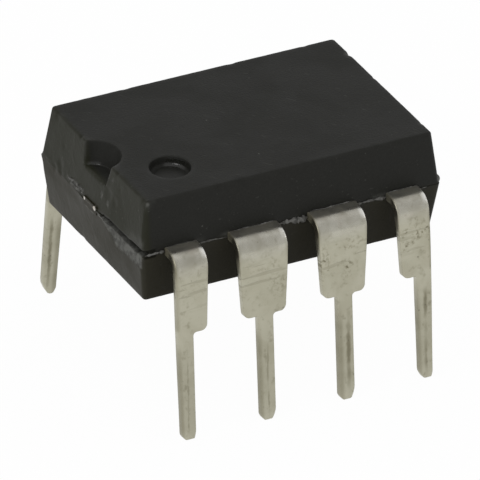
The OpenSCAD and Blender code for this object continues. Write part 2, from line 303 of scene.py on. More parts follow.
def makeEpoxy():
    look = epoxyLook
    material, tree, shader, place = newMaterial("blackEpoxy", look["pale"])
    skin = useGroup(tree, grain, {"Vector": place, "Grains per mm": look["grainsPerMm"], "Coarse share": 0.35})
    cloud = useGroup(tree, smudge, {"Vector": place, "Patches per mm": 0.5, "Low": 0.3, "High": 0.75})
    axes = addNode(tree, "ShaderNodeSeparateXYZ", {"Vector": place})
    atNotchEnd = ramp(tree, axes.outputs["X"], -4.40 * mm, -4.60 * mm)
    grained = ramp(tree, atNotchEnd, 0.0, 1.0, 1.0, 0.35)
    shade = calc(tree, "MULTIPLY", calc(tree, "SUBTRACT", skin["Shade"], 0.5), grained)
    shade = calc(tree, "MULTIPLY", calc(tree, "ADD", shade, 0.5), 0.6)
    base = blendColour(tree, shade, look["dark"], look["pale"])
    base = blendColour(tree, calc(tree, "MULTIPLY", cloud["Mask"], 0.35), base, look["pale"])
    lowDown = ramp(tree, axes.outputs["Z"], (partingHeight + 0.1) * mm, (partingHeight - 0.1) * mm)
    base = blendColour(tree, calc(tree, "MULTIPLY", atNotchEnd, 0.8), base, look["olive"])
    # The lower half gets a warmer tint and is painted lighter, as painted light from the floor below
    base = blendColour(tree, calc(tree, "MULTIPLY", lowDown, 0.7), base, look["warm"])
    # Edges rub light first
    wear = addNode(tree, "ShaderNodeAttribute", attribute_name="wear").outputs["Fac"]
    patchy = useGroup(tree, smudge, {"Vector": place, "Patches per mm": 1.8, "Low": 0.40, "High": 0.70})
    rubbed = calc(tree, "MULTIPLY", wear, calc(tree, "ADD", calc(tree, "MULTIPLY", patchy["Mask"], 0.40), 0.35))
    base = blendColour(tree, rubbed, base, look["worn"])
    dots = useGroup(tree, specks, {"Vector": place, "Cells per mm": 2.1, "Share": 0.10, "Radius": 0.055})
    fineDots = useGroup(tree, specks, {"Vector": place, "Cells per mm": 5.5, "Share": 0.12, "Radius": 0.13})
    marks = useGroup(tree, scratches, {"Vector": place, "Turn": 0.9, "Lines per mm": 13.0, "Length": 5.0, "Cut": 0.73})
    spots = calc(tree, "MAXIMUM", calc(tree, "MULTIPLY", dots["Mask"], 0.6), calc(tree, "MULTIPLY", fineDots["Mask"], 0.2))
    spots = calc(tree, "MAXIMUM", spots, calc(tree, "MULTIPLY", marks["Mask"], 0.14))
    base = blendColour(tree, spots, base, look["speck"])
    # The gate, the vent and the chips show the rougher inside of the epoxy; the same colour paints light on a facet at
    # the far corner
    broken = addNode(tree, "ShaderNodeAttribute", attribute_name="broken").outputs["Fac"]
    crumbs = useGroup(tree, smudge, {"Vector": place, "Patches per mm": 6.0, "Low": 0.36, "High": 0.6})
    base = blendColour(tree, broken, base, blendColour(tree, crumbs["Mask"], look["breakAndPaintedLightDark"], look["breakAndPaintedLight"]))
    rough = ramp(tree, cloud["Mask"], 0.0, 1.0, look["roughness"] - 0.04, look["roughness"] + 0.06)
    rough = calc(tree, "ADD", rough, calc(tree, "MULTIPLY", broken, 0.15))
    polish = addNode(tree, "ShaderNodeAttribute", attribute_name="polish").outputs["Fac"]
    rough = addNode(tree, "ShaderNodeMix", {0: polish, 2: rough, 3: look["polishedRoughness"]}).outputs[0]
    gloss = ramp(tree, polish, 0.0, 1.0, look["specular"], look["polishedSpecular"])
    gloss = calc(tree, "MULTIPLY", gloss, ramp(tree, lowDown, 0.0, 1.0, 1.0, 0.86))
    # Painted shade: the undercut, the notch's wall and a corner of its floor are painted darker and less glossy
    paintedShade = addNode(tree, "ShaderNodeAttribute", attribute_name="paintedShade").outputs["Fac"]
    base = blendColour(tree, calc(tree, "MULTIPLY", paintedShade, 0.8), base, look["dark"])
    gloss = calc(tree, "MULTIPLY", gloss, calc(tree, "SUBTRACT", 1.0, paintedShade))
    # The notch end came out of its mould a little uneven
    uneven = useGroup(tree, smudge, {"Vector": place, "Patches per mm": 1.7, "Low": 0.30, "High": 0.75})
    normal = bump(tree, calc(tree, "MULTIPLY", uneven["Mask"], atNotchEnd), 0.006)
    normal = bump(tree, calc(tree, "MULTIPLY", skin["Height"], grained), look["grainHeight"], under=normal)
    normal = bump(tree, calc(tree, "MULTIPLY", crumbs["Mask"], broken), 0.015, under=normal)
    setShader(tree, shader, colour=base, roughness=rough, specular=gloss, normal=normal)
    return material


flashLook = {
    "dark": colour(0.050, 0.049, 0.045),
    "pale": colour(0.125, 0.123, 0.115),
    "roughness": 0.7,
}


def makeFlashEpoxy():
    look = flashLook
    material, tree, shader, place = newMaterial("brokenEpoxy", look["pale"])
    skin = useGroup(tree, grain, {"Vector": place, "Grains per mm": 11.0, "Coarse share": 0.6})
    patches = useGroup(tree, smudge, {"Vector": place, "Patches per mm": 5.0, "Low": 0.4, "High": 0.62})
    base = blendColour(tree, patches["Mask"], look["dark"], look["pale"])
    normal = bump(tree, skin["Height"], 0.02)
    setShader(tree, shader, colour=base, roughness=look["roughness"], specular=0.3, normal=normal)
    return material


tinLook = {
    "bright": colour(0.475, 0.462, 0.408),
    "dull": colour(0.335, 0.320, 0.268),
    "warm": colour(0.42, 0.405, 0.305),      # below the bend the plating has turned yellowish
    "stainAndShadeColour": colour(0.17, 0.155, 0.100),
    "pink": colour(0.43, 0.375, 0.32),
    "pin": colour(0.07, 0.065, 0.055),
    # near-white of the painted glint on the bend's edges
    "paintedGlintColour": colour(0.86, 0.85, 0.81),
    "roughness": 0.36,
}


def makeTin():
    look = tinLook
    material, tree, shader, place = newMaterial("tinPlate", look["bright"])
    sheet = addNode(tree, "ShaderNodeUVMap", uv_map="sheet").outputs["UV"]
    soil = addNode(tree, "ShaderNodeAttribute", attribute_name="soil").outputs["Fac"]
    haze = useGroup(tree, smudge, {"Vector": place, "Patches per mm": 1.6, "Low": 0.3, "High": 0.72})
    base = blendColour(tree, haze["Mask"], look["bright"], look["dull"])
    blush = useGroup(tree, smudge, {"Vector": sheet, "Patches per mm": 1.1, "Low": 0.55, "High": 0.75})
    base = blendColour(tree, calc(tree, "MULTIPLY", blush["Mask"], 0.5), base, look["pink"])
    sheetAxes = addNode(tree, "ShaderNodeSeparateXYZ", {"Vector": sheet}).outputs
    down = ramp(tree, sheetAxes["Y"], 0.2 * mm, 1.0 * mm)
    base = blendColour(tree, calc(tree, "MULTIPLY", down, 0.75), base, look["warm"])
    # Faint lines across the wide part from the forming tool
    rolled = useGroup(tree, scratches, {"Vector": sheet, "Turn": 0.04, "Lines per mm": 9.0, "Length": 16.0, "Cut": 0.60})
    onWide = calc(tree, "MULTIPLY", ramp(tree, sheetAxes["Y"], 0.7 * mm, 1.0 * mm),
                  ramp(tree, sheetAxes["Y"], 2.0 * mm, 1.5 * mm))
    lines = calc(tree, "MULTIPLY", rolled["Mask"], onWide)
    stains = useGroup(tree, smudge, {"Vector": sheet, "Patches per mm": 4.2, "Low": 0.54, "High": 0.76, "Distortion": 0.2})
    stainAndPaintedShade = calc(tree, "MAXIMUM", calc(tree, "MULTIPLY", stains["Mask"], 0.42), calc(tree, "MULTIPLY", lines, 0.22))
    # Grime in small patches below the bend
    grime = useGroup(tree, smudge, {"Vector": sheet, "Patches per mm": 8.0, "Low": 0.46, "High": 0.66})
    grimy = useGroup(tree, smudge, {"Vector": sheet, "Patches per mm": 1.3, "Low": 0.46, "High": 0.62})
    belowBend = calc(tree, "MULTIPLY", ramp(tree, sheetAxes["Y"], 0.4 * mm, 0.8 * mm),
                     ramp(tree, sheetAxes["Y"], 2.4 * mm, 1.7 * mm))
    grime = calc(tree, "MULTIPLY", calc(tree, "MULTIPLY", grime["Mask"], grimy["Mask"]), belowBend)
    grime = calc(tree, "MULTIPLY", grime, ramp(tree, soil, 0.0, 1.0, 0.40, 0.95))
    stainAndPaintedShade = calc(tree, "MAXIMUM", stainAndPaintedShade, grime)
    # Painted shade along one edge of the narrow part's flat face, standing in for the shading of a crowned face
    across = addNode(tree, "ShaderNodeMath", {0: sheetAxes["X"], 1: 0.01, 2: -0.01}, operation="WRAP").outputs[0]
    narrow = ramp(tree, sheetAxes["Y"], 2.6 * mm, 3.6 * mm)
    paintedEdgeShade = calc(tree, "MULTIPLY", ramp(tree, across, -0.12 * mm, -0.25 * mm), calc(tree, "MULTIPLY", narrow, 0.35))
    stainAndPaintedShade = calc(tree, "MAXIMUM", stainAndPaintedShade, paintedEdgeShade)
    # A dirty crease down the narrow part
    fray = addNode(tree, "ShaderNodeTexNoise", {"Vector": sheet, "Scale": 5200.0, "Detail": 2.0}).outputs["Fac"]
    sway = addNode(tree, "ShaderNodeTexNoise", {"Vector": sheet, "Scale": 500.0, "Detail": 1.0}).outputs["Fac"]
    shake = calc(tree, "MULTIPLY", calc(tree, "SUBTRACT", sway, 0.5), 0.12 * mm)
    fromCrease = calc(tree, "ABSOLUTE", calc(tree, "SUBTRACT", across, shake))
    fromCrease = calc(tree, "ADD", fromCrease, calc(tree, "MULTIPLY", calc(tree, "SUBTRACT", fray, 0.5), 0.10 * mm))
    dirt = addNode(tree, "ShaderNodeTexNoise", {"Vector": sheet, "Scale": 800.0, "Detail": 2.0}).outputs["Fac"]
    creaseWidth = ramp(tree, soil, 0.0, 1.0, 0.045 * mm, 0.12 * mm)
    crease = calc(tree, "MULTIPLY", ramp(tree, fromCrease, creaseWidth, 0.01 * mm), ramp(tree, dirt, 0.34, 0.58, 0.15, 0.70))
    crease = calc(tree, "MULTIPLY", crease, ramp(tree, soil, 0.0, 1.0, 0.7, 1.15), clamp=True)
    crease = calc(tree, "MULTIPLY", crease, ramp(tree, sheetAxes["Y"], 2.8 * mm, 3.3 * mm))
    beforeTip = ramp(tree, sheetAxes["Y"], 5.75 * mm, 5.35 * mm, 0.15, 1.0)
    crease = calc(tree, "MULTIPLY", crease, beforeTip)
    # The narrow part is a little darker all over, less so at the tip
    stainAndPaintedShade = calc(tree, "ADD", stainAndPaintedShade, calc(tree, "MULTIPLY", calc(tree, "MULTIPLY", narrow, beforeTip), 0.15))
    stainAndPaintedShade = calc(tree, "MAXIMUM", stainAndPaintedShade, crease, clamp=True)
    # Dirt collects on the sheared sides of the wide part
    soot = addNode(tree, "ShaderNodeAttribute", attribute_name="soot").outputs["Fac"]
    stainAndPaintedShade = calc(tree, "MAXIMUM", stainAndPaintedShade, calc(tree, "MULTIPLY", soot, ramp(tree, dirt, 0.3, 0.6, 0.55, 1.0)))
    base = blendColour(tree, stainAndPaintedShade, base, look["stainAndShadeColour"])
    pinholes = useGroup(tree, specks, {"Vector": place, "Cells per mm": 5.5, "Share": 0.34, "Radius": 0.15})
    pitted = useGroup(tree, smudge, {"Vector": sheet, "Patches per mm": 0.8, "Low": 0.42, "High": 0.60})
    holes = calc(tree, "MULTIPLY", pinholes["Mask"], calc(tree, "MULTIPLY", pitted["Mask"], 0.7))
    base = blendColour(tree, holes, base, look["pin"])
    # Painted glint: the bend's edges are painted near-white where a highlight falls, in patches
    paintedGlint = addNode(tree, "ShaderNodeAttribute", attribute_name="paintedGlint").outputs["Fac"]
    glintPatches = useGroup(tree, smudge, {"Vector": sheet, "Patches per mm": 7.0, "Low": 0.28, "High": 0.5})
    paintedGlint = calc(tree, "MULTIPLY", paintedGlint, glintPatches["Mask"])
    base = blendColour(tree, paintedGlint, base, look["paintedGlintColour"])
    skin = useGroup(tree, grain, {"Vector": place, "Grains per mm": 9.0, "Coarse share": 0.55})
    rough = ramp(tree, haze["Mask"], 0.0, 1.0, look["roughness"] - 0.04, look["roughness"] + 0.08)
    rough = calc(tree, "ADD", rough, calc(tree, "MULTIPLY", stainAndPaintedShade, 0.2), clamp=True)
    rough = calc(tree, "ADD", rough, ramp(tree, sheetAxes["Y"], 0.10 * mm, -0.05 * mm, 0.0, 0.09), clamp=True)
    onBend = calc(tree, "MULTIPLY", ramp(tree, sheetAxes["Y"], 0.02 * mm, 0.12 * mm),
                  ramp(tree, sheetAxes["Y"], 0.75 * mm, 0.45 * mm))
    rough = calc(tree, "SUBTRACT", rough, calc(tree, "MULTIPLY", onBend, 0.10), clamp=True)
    pits = calc(tree, "SUBTRACT", skin["Height"], holes)
    normal = bump(tree, pits, 0.006)
    normal = bump(tree, calc(tree, "MAXIMUM", lines, crease), -0.006, under=normal)
    setShader(tree, shader, colour=base, metallic=1.0, roughness=rough, normal=normal)
    return material


def makeInnerMetal(name, bright, dull, roughness, grainsPerMm):
    # Bare metal inside the epoxy, and the sheared ends of the tie bars that show in the end walls
    material, tree, shader, place = newMaterial(name, bright)
    skin = useGroup(tree, grain, {"Vector": place, "Grains per mm": grainsPerMm, "Coarse share": 0.5})
    haze = useGroup(tree, smudge, {"Vector": place, "Patches per mm": 1.5, "Low": 0.35, "High": 0.7})
    base = blendColour(tree, haze["Mask"], bright, dull)
    rough = ramp(tree, skin["Shade"], 0.0, 1.0, roughness - 0.06, roughness + 0.06)
    normal = bump(tree, skin["Height"], 0.003)
    setShader(tree, shader, colour=base, metallic=1.0, roughness=rough, normal=normal)
    return material


def makePaddleMetal():
    bright, dull = colour(0.55, 0.53, 0.49), colour(0.40, 0.33, 0.26)
    material = makeInnerMetal("frameMetal", bright, dull, 0.38, 12.0)
    tree = material.node_tree
    shader = tree.nodes["Principled BSDF"]
    place = tree.nodes["Texture Coordinate"].outputs["Object"]
    # Epoxy smeared over the sheared ends leaves two bright spots and a thin line between them
    axes = addNode(tree, "ShaderNodeSeparateXYZ", {"Vector": place})
    outside = calc(tree, "GREATER_THAN", calc(tree, "ABSOLUTE", axes.outputs["X"]), 4.75 * mm)
    flatPlace = addNode(tree, "ShaderNodeCombineXYZ", {"Y": axes.outputs["Y"], "Z": axes.outputs["Z"]})
    wobble = addNode(tree, "ShaderNodeTexNoise", {"Vector": place, "Scale": 9000.0, "Detail": 2.0})
    shake = calc(tree, "MULTIPLY", calc(tree, "SUBTRACT", wobble.outputs["Fac"], 0.5), 0.09 * mm)
    bareness = 0.0
    for spotY, spotZ, radius in ((0.36, 0.07, 0.062), (-0.27, 0.055, 0.075)):
        spot = (0.0, spotY * mm, (spotZ + partingHeight) * mm)
        away = addNode(tree, "ShaderNodeVectorMath", {0: flatPlace.outputs[0], 1: spot}, operation="DISTANCE")
        reach = calc(tree, "ADD", away.outputs["Value"], shake)
        bareness = calc(tree, "MAXIMUM", bareness, ramp(tree, reach, radius * mm, radius * 0.7 * mm))
    lineZ = addNode(tree, "ShaderNodeTexNoise", {"Vector": place, "Scale": 3200.0, "Detail": 1.0})
    height = calc(tree, "ADD", calc(tree, "MULTIPLY", lineZ.outputs["Fac"], 0.22 * mm), (partingHeight - 0.05) * mm)
    offLine = calc(tree, "ABSOLUTE", calc(tree, "SUBTRACT", axes.outputs["Z"], height))
    bareness = calc(tree, "MAXIMUM", bareness, ramp(tree, offLine, 0.02 * mm, 0.008 * mm, 0.0, 0.10))
    cover = calc(tree, "MULTIPLY", calc(tree, "SUBTRACT", 1.0, bareness), outside)
    bare = shader.inputs["Base Color"].links[0].from_socket
    bareRough = shader.inputs["Roughness"].links[0].from_socket
    coverRough = addNode(tree, "ShaderNodeMix", {0: cover, 2: bareRough, 3: epoxyLook["roughness"]}).outputs[0]
    setShader(tree, shader, colour=blendColour(tree, cover, bare, epoxyLook["warm"]), roughness=coverRough)
    setShader(tree, shader, metallic=calc(tree, "SUBTRACT", 1.0, cover))
    setShader(tree, shader, specular=ramp(tree, cover, 0.0, 1.0, 0.5, epoxyLook["specular"]))
    return material


def makePlainInner(name, pale, dark, roughness, specular, spots):
    # Paste under the die and the die itself
    material, tree, shader, place = newMaterial(name, pale)
    skin = useGroup(tree, grain, {"Vector": place, "Grains per mm": 14.0, "Coarse share": 0.3})
    flakes = useGroup(tree, specks, {"Vector": place, "Cells per mm": 9.0, "Share": spots, "Radius": 0.3})
    base = blendColour(tree, skin["Shade"], dark, pale)
    base = blendColour(tree, flakes["Mask"], base, colour(0.62, 0.62, 0.60))
    normal = bump(tree, skin["Height"], 0.002)
    setShader(tree, shader, colour=base, roughness=roughness, specular=specular, normal=normal)
    return material


epoxy = makeEpoxy()
flashEpoxy = makeFlashEpoxy()
tin = makeTin()
paddleMetal = makePaddleMetal()
paste = makePlainInner("silverPaste", colour(0.42, 0.42, 0.40), colour(0.25, 0.25, 0.24), 0.6, 0.4, 0.5)
silicon = makePlainInner("siliconChip", colour(0.10, 0.115, 0.14), colour(0.07, 0.08, 0.10), 0.22, 0.7, 0.03)
gold = makeInnerMetal("goldWire", colour(0.90, 0.66, 0.26), colour(0.76, 0.53, 0.20), 0.3, 30.0)
print("materials made")


# ---- moulded body ----

bodySize = {
    "halfLength": 4.785,     # of the upper half at the parting plane
    "halfWidth": 3.18,
    "upperHeight": 1.64,
    "lowerHeight": 1.58,
    "endDraft": 7.4,
    "sideDraft": 6.2,
    "cornerRadius": 0.13,
    "rimRadius": 0.08,
    "mouldStep": 0.02,       # the lower half stands out this far
    "notchCentre": 4.76,     # from the middle of the body
    "notchRadius": 0.84,
    "notchDepth": 0.68,
    "notchFillet": 0.035,
    "notchLip": 0.08,        # the floor rounds off towards the end wall
    "notchRim": 0.035,
    "notchDraft": 15.0,
    "pocketDraft": 6.0,
    "markPlace": (-3.07, -1.53),
    "markRadius": 0.60,
    "markDepth": 0.26,
    "markFillet": 0.12,
    "ejectorPlaces": ((-2.4, 0.0), (2.4, 0.0)),
    "ejectorRadius": 0.75,
    "ejectorDepth": 0.06,
    # Scar of the gate at the notch end: how far from the middle towards lead 1, how far down it goes there
    "gateEdge": ((0.60, 0.0), (0.80, 0.12), (1.30, 0.33), (1.44, 0.50), (1.75, 0.52), (2.25, 0.45), (2.67, 0.46),
                 (3.20, 0.41)),
    "gateDepth": 0.07,
    "grooveTop": 0.125,      # undercut above the scar
    "grooveLow": -0.075,
    "grooveDepth": 0.24,
    "facetDepth": 0.05,      # slope above the undercut, near lead 1
    "ventPlace": (-3.0, 0.085),
    "ventRadius": 0.12,
    "ventReach": 4.858,
    "spacing": 0.075,
    "skinNoise": 0.002,
    "rimNoise": 0.008,
}

# Dents and chips: place, radius and depth
nicks = [
    ((-4.585, -2.85, 1.6), 0.16, 0.025), ((-4.525, -2.99, 1.55), 0.065, 0.03), ((-1.6, -3.01, 1.6), 0.22, 0.02),
    ((-2.35, -3.01, 1.6), 0.15, 0.02), ((0.4, -3.01, 1.6), 0.2, 0.018), ((2.7, -3.01, 1.6), 0.16, 0.02),
    ((4.555, 2, 1.6), 0.16, 0.05), ((4.555, -2.36, 1.6), 0.15, 0.015), ((4.545, 0.5, 1.61), 0.12, 0.02),
    ((-4.775, 2.3, 0.03), 0.20, 0.028), ((-4.765, 1.9, 0.06), 0.16, 0.028), ((-4.755, 1.4, 0.1), 0.14, 0.028),
    ((-4.725, -0.51, 0.6), 0.10, 0.03), ((-4.725, -0.89, 0.5), 0.10, 0.03), ((-4.655, -0.98, 1.29), 0.09, 0.03),
    ((-4.665, -1.44, 1.34), 0.08, 0.03), ((-4.745, 2, 0.3), 0.22, 0.026), ((-4.685, -0.9, 0.8), 0.30, 0.022), ((-4.685, -1.3, 0.75), 0.22, 0.020),
    ((-4.645, 1.9, 0.9), 0.12, 0.012), ((-4.585, 2.5, 1.55), 0.2, 0.02), ((-4.625, -1.5, 1.25), 0.1, 0.014),
    ((-4.565, 1.1, 1.62), 0.12, 0.022), ((-4.565, -1.2, 1.62), 0.12, 0.02), ((1.2, 3.01, 1.6), 0.18, 0.018),
    ((-2.2, 3.01, 1.6), 0.2, 0.02), ((3.6, 3.01, 1.6), 0.15, 0.02), ((-1, -3.02, -1.52), 0.2, 0.02),
    ((2.2, -3.02, -1.52), 0.16, 0.02), ((-4.595, 0.8, -1.52), 0.2, 0.02), ((4.595, -1.1, -1.52), 0.2, 0.022),
]


def outlineColumns(size):
    # The body's outline as a list of places that every level shares, counter-clockwise from above
    corner = [i / 8 for i in range(9)]
    quarter = math.pi / 2
    straight = size["halfWidth"] - size["cornerRadius"] - size["notchRadius"]
    near = [0.02 / straight, 0.045 / straight, 0.08 / straight]
    end = near + steps(0.08 / straight, 1.0, 0.05 / straight)
    sideShare = size["spacing"] / (size["halfLength"] - size["cornerRadius"])
    side = steps(-1.0, 1.0, sideShare)
    farHalf = size["halfWidth"] - size["cornerRadius"]
    dense = -2.5 / farHalf
    far = steps(-1.0, dense, 0.035 / farHalf) + [dense] + steps(dense, 1.0, size["spacing"] / farHalf)
    bite = [i / 40 for i in range(41)]
    columns = [("corner", -1, 1, quarter + quarter * s) for s in corner]
    columns += [("end", 1, s) for s in reversed(end)]
    columns += [("bite", s) for s in bite]
    columns += [("end", -1, s) for s in end]
    columns += [("corner", -1, -1, 2 * quarter + quarter * s) for s in corner]
    columns += [("side", -1, s) for s in side]
    columns += [("corner", 1, -1, 3 * quarter + quarter * s) for s in corner]
    columns += [("far", s) for s in far]
    columns += [("corner", 1, 1, quarter * s) for s in corner]
    columns += [("side", 1, s) for s in reversed(side)]
    return columns


def outlinePlace(size, column, level):
    # Where a column meets a level of the body
    kind = column[0]
    rim = level["rim"]
    if kind in ("end", "bite") and level["half"] == "upper" and level["turn"] > 0:
        away = column[2] * 2.0 if kind == "end" else 0.0
        rim = mix(size["notchRim"], rim, smooth(away, 0.02, 0.3))
    height = size[level["half"] + "Height"]
    out = size["mouldStep"] if level["half"] == "lower" else 0.0
    z = level["z"]
    inset = 0.0
    if level["turn"] > 0:
        z = height - rim * (1 - math.sin(level["turn"]))
        inset = rim * (1 - math.cos(level["turn"]))
    wallZ = min(z, height - rim)
    length = size["halfLength"] + out - wallZ * tangent(size["endDraft"]) - inset
    width = size["halfWidth"] + out - wallZ * tangent(size["sideDraft"]) - inset
    radius = size["cornerRadius"] - inset
    sign = 1 if level["half"] == "upper" else -1
    if kind == "corner":
        x = column[1] * (length - radius) + radius * math.cos(column[3])
        y = column[2] * (width - radius) + radius * math.sin(column[3])
        return x, y, sign * z
    if kind == "side":
        return column[2] * (length - radius), column[1] * width, sign * z
    if kind == "far":
        return length, column[1] * (width - radius), sign * z
    biteRadius = level["biteRadius"]
    if level["turn"] > 0 and level["half"] == "upper":
        biteRadius = size["notchRadius"] - rim * tangent(size["notchDraft"]) + inset
    toWall = size["notchCentre"] - length
    halfBite = math.sqrt(biteRadius ** 2 - toWall ** 2)
    if kind == "end":
        y = column[1] * mix(halfBite, width - radius, column[2])
        return -length, y, sign * z
    spread = math.acos(toWall / biteRadius)
    angle = spread * (1 - 2 * column[1])
    chordY = halfBite * (1 - 2 * column[1])
    share = level["bite"]
    innerX = -size["notchCentre"] + biteRadius * math.cos(angle)
    floorZ = size["upperHeight"] - size["notchDepth"]
    lip = min(size["notchLip"], 0.8 * (innerX + length))
    if level["half"] == "upper" and share == 0 and z > 0.4:
        z = mix(0.4, floorZ - lip, (z - 0.4) / (floorZ - 0.4))
        length = size["halfLength"] - z * tangent(size["endDraft"])
    x = mix(-length, innerX, share)
    y = mix(chordY, biteRadius * math.sin(angle), share)
    inwards = x + length
    if z == floorZ and share > 0 and inwards < lip:
        z -= lip - math.sqrt(lip ** 2 - (lip - inwards) ** 2)
    return x, y, sign * z


def bodyLevels(size):
    # Levels from the underside up to the top face
    def level(half, z, turn=0.0, bite=0.0, biteRadius=None):
        return {"half": half, "z": z, "turn": turn, "rim": size["rimRadius"], "bite": bite,
                "biteRadius": biteRadius or floorRadius}

    slope = tangent(size["notchDraft"])
    floorRadius = size["notchRadius"] - size["notchDepth"] * slope - size["notchFillet"]
    rimSteps = 6
    turns = [math.pi / 2 * i / rimSteps for i in range(1, rimSteps + 1)]
    spacing = size["spacing"]
    upper, lower, rim = size["upperHeight"], size["lowerHeight"], size["rimRadius"]
    floorZ = upper - size["notchDepth"]
    levels = [level("lower", lower, turn) for turn in reversed(turns)]
    levels += [level("lower", z) for z in [lower - rim] + steps(lower - rim, 0.5, spacing)]
    levels += [level("lower", z) for z in [0.5] + steps(0.5, 0.0, 0.04) + [0.015, 0.0]]
    levels += [level("upper", z) for z in [0.0, 0.015] + steps(0.0, 0.4, 0.035) + [0.4]]
    levels += [level("upper", z) for z in steps(0.4, floorZ, spacing) + [floorZ]]
    floorSteps = 18
    for i in range(1, floorSteps + 1):
        levels.append(level("upper", floorZ, bite=i / floorSteps))
    filletSteps = 4
    for i in range(1, filletSteps + 1):
        turn = math.pi / 2 * i / filletSteps
        z = floorZ + size["notchFillet"] * (1 - math.cos(turn))
        levels.append(level("upper", z, bite=1.0, biteRadius=floorRadius + size["notchFillet"] * math.sin(turn)))
    wallStart = floorZ + size["notchFillet"]
    wallEnd = upper - rim - 0.03
    for z in steps(wallStart, wallEnd, spacing) + [wallEnd]:
        radius = size["notchRadius"] - (upper - z) * slope
        levels.append(level("upper", z, bite=1.0, biteRadius=radius))
    rimRadiusHere = size["notchRadius"] - size["notchRim"] * slope
    levels += [level("upper", upper, 0.001, 1.0, rimRadiusHere)]
    levels += [level("upper", upper, turn, 1.0, rimRadiusHere) for turn in turns]
    return levels


def softenNotchEdges(columns, places):
    # Rounds the upright edges where the notch meets the end wall
    joints = [i for i, column in enumerate(columns) if column[0] == "bite" and column[1] in (0.0, 1.0)]
    for repeat in range(2):
        moved = {}
        for joint in joints:
            for i in range(joint - 1, joint + 2):
                before, here, after = places[i - 1], places[i], places[i + 1]
                moved[i] = tuple(0.5 * here[k] + 0.25 * (before[k] + after[k]) for k in range(3))
        for i, place in moved.items():
            places[i] = place


def gateLow(size, y):
    # How far below the parting plane the scar reaches
    points = size["gateEdge"]
    for (fromPlace, fromLow), (toPlace, toLow) in zip(points, points[1:]):
        if fromPlace <= -y <= toPlace:
            return mix(fromLow, toLow, (-y - fromPlace) / (toPlace - fromPlace))
    return 0.0


def endWall(size, z):
    # x of the notch end's wall; the lower half stands out a little
    out = size["mouldStep"] if z < 0 else 0.0
    return -size["halfLength"] - out + abs(z) * tangent(size["endDraft"])


def workedPlace(size, x, y, z, lower):
    # The gate's scar, the undercut and the slope above it, the vent's stub and the far end of the parting line
    if x < -3.5 and lower:
        # Towards the far corner the halves meet almost flush
        x += 0.95 * size["mouldStep"] * smooth(y, 0.5, 0.9) * smooth(z, -0.5, -0.1)
        low = gateLow(size, y)
        if low > 0.01 and z > -low:
            deep = size["gateDepth"] * smooth(-y, 0.5, 1.5) * (0.15 + 0.85 * (1 + z / low))
            x = max(x, endWall(size, min(z, -0.001)) + deep + 0.012 * steady(x, y, z, 5.0, 3.1))
    if x < -3.5 and not lower:
        near = smooth(-y, 1.8, 2.8)
        x += size["facetDepth"] * near * (1 - smooth(z, 0.12, mix(0.3, 0.62, smooth(-y, 1.9, 3.0))))
    if x < -3.5 and -0.2 < z < 0.3:
        middle = (size["grooveTop"] + size["grooveLow"]) / 2 + 0.03 * smooth(-y, 2.2, 3.1)
        half = (size["grooveTop"] - size["grooveLow"]) / 2 * mix(0.45, 1.0, smooth(-y, 0.5, 1.2))
        half *= 1 + 0.22 * steady(0, y, 0, 2.2, 7.7)
        deep = size["grooveDepth"] * smooth(-y, 0.4, 0.8) * smooth(half - abs(z - middle), 0.0, 0.035)
        if deep > 0:
            x = max(x, endWall(size, z) + deep)
    if x < -4.0 and y > 2.9:
        y += 0.04 * smooth(-x, 4.1, 4.7) * smooth(z, -0.3, -0.03) * (1 - smooth(z, 0.0, 0.14))
    if x > 4.5:
        away = math.hypot(y - size["ventPlace"][0], z - size["ventPlace"][1]) / size["ventRadius"]
        if away < 1 and not lower:
            x = mix(x, size["ventReach"], (1 - away ** 2) ** 0.5)
    return x, y, z


def insideLoop(loop, x, y):
    inside = False
    for i in range(len(loop)):
        ax, ay = loop[i - 1]
        bx, by = loop[i]
        if (ay > y) != (by > y) and x < (bx - ax) * (y - ay) / (by - ay) + ax:
            inside = not inside
    return inside


def onFlat(loops, x, y):
    # Inside the first loop and outside the others
    return insideLoop(loops[0], x, y) and not any(insideLoop(loop, x, y) for loop in loops[1:])


def evenPoints(loops, spacing):
    # Points on an even pattern over a flat outline with holes, clear of all edges
    edgePoints = [p for loop in loops for p in loop]
    tree = KDTree(len(edgePoints))
    for number, p in enumerate(edgePoints):
        tree.insert((p[0], p[1], 0), number)
    tree.balance()
    lowX, highX = min(p[0] for p in loops[0]), max(p[0] for p in loops[0])
    lowY, highY = min(p[1] for p in loops[0]), max(p[1] for p in loops[0])
    rowHeight = spacing * math.sqrt(3) / 2
    points = []
    for j in range(int((highY - lowY) / rowHeight) + 1):
        for i in range(int((highX - lowX) / spacing) + 1):
            x = lowX + (i + 0.5 * (j % 2)) * spacing
            y = lowY + j * rowHeight
            if tree.find((x, y, 0))[2] > spacing * 0.6 and onFlat(loops, x, y):
                points.append((x, y))
    return points


def fillFlat(loops, inner):
    # Triangles over a flat outline with holes, through the points inside it
    points, edges = [], []
    for loop in loops:
        first = len(points)
        points += [Vector(p) for p in loop]
        edges += [(first + i, first + (i + 1) % len(loop)) for i in range(len(loop))]
    points += [Vector(p) for p in inner]
    found = delaunay_2d_cdt(points, edges, [], 0, 1e-9)
    places, triangles = found[0], found[2]
    kept = []
    for triangle in triangles:
        x = sum(places[i].x for i in triangle) / 3
        y = sum(places[i].y for i in triangle) / 3
        if onFlat(loops, x, y):
            kept.append(triangle)
    return places, kept


def pocketRings(radius, depth, fillet, draft, mouth):
    # (radius, depth) of each ring from the mouth of a round pocket to the middle of its floor
    rings = [(radius + mouth * (1 - math.sin(a)), mouth * (1 - math.cos(a)))
             for a in (math.pi / 2 * i / 3 for i in range(4))]
    floorRadius = radius - depth * tangent(draft)
    wallEnd = depth - fillet
    rings += [(radius - z * tangent(draft), z) for z in steps(mouth, wallEnd, 0.05)]
    for i in range(6):
        turn = math.pi / 2 * i / 5
        rings.append((floorRadius - fillet * (1 - math.cos(turn)), wallEnd + fillet * math.sin(turn)))
    rings += [(r, depth) for r in steps(floorRadius - fillet, 0.05, 0.07) + [0.05]]
    return rings


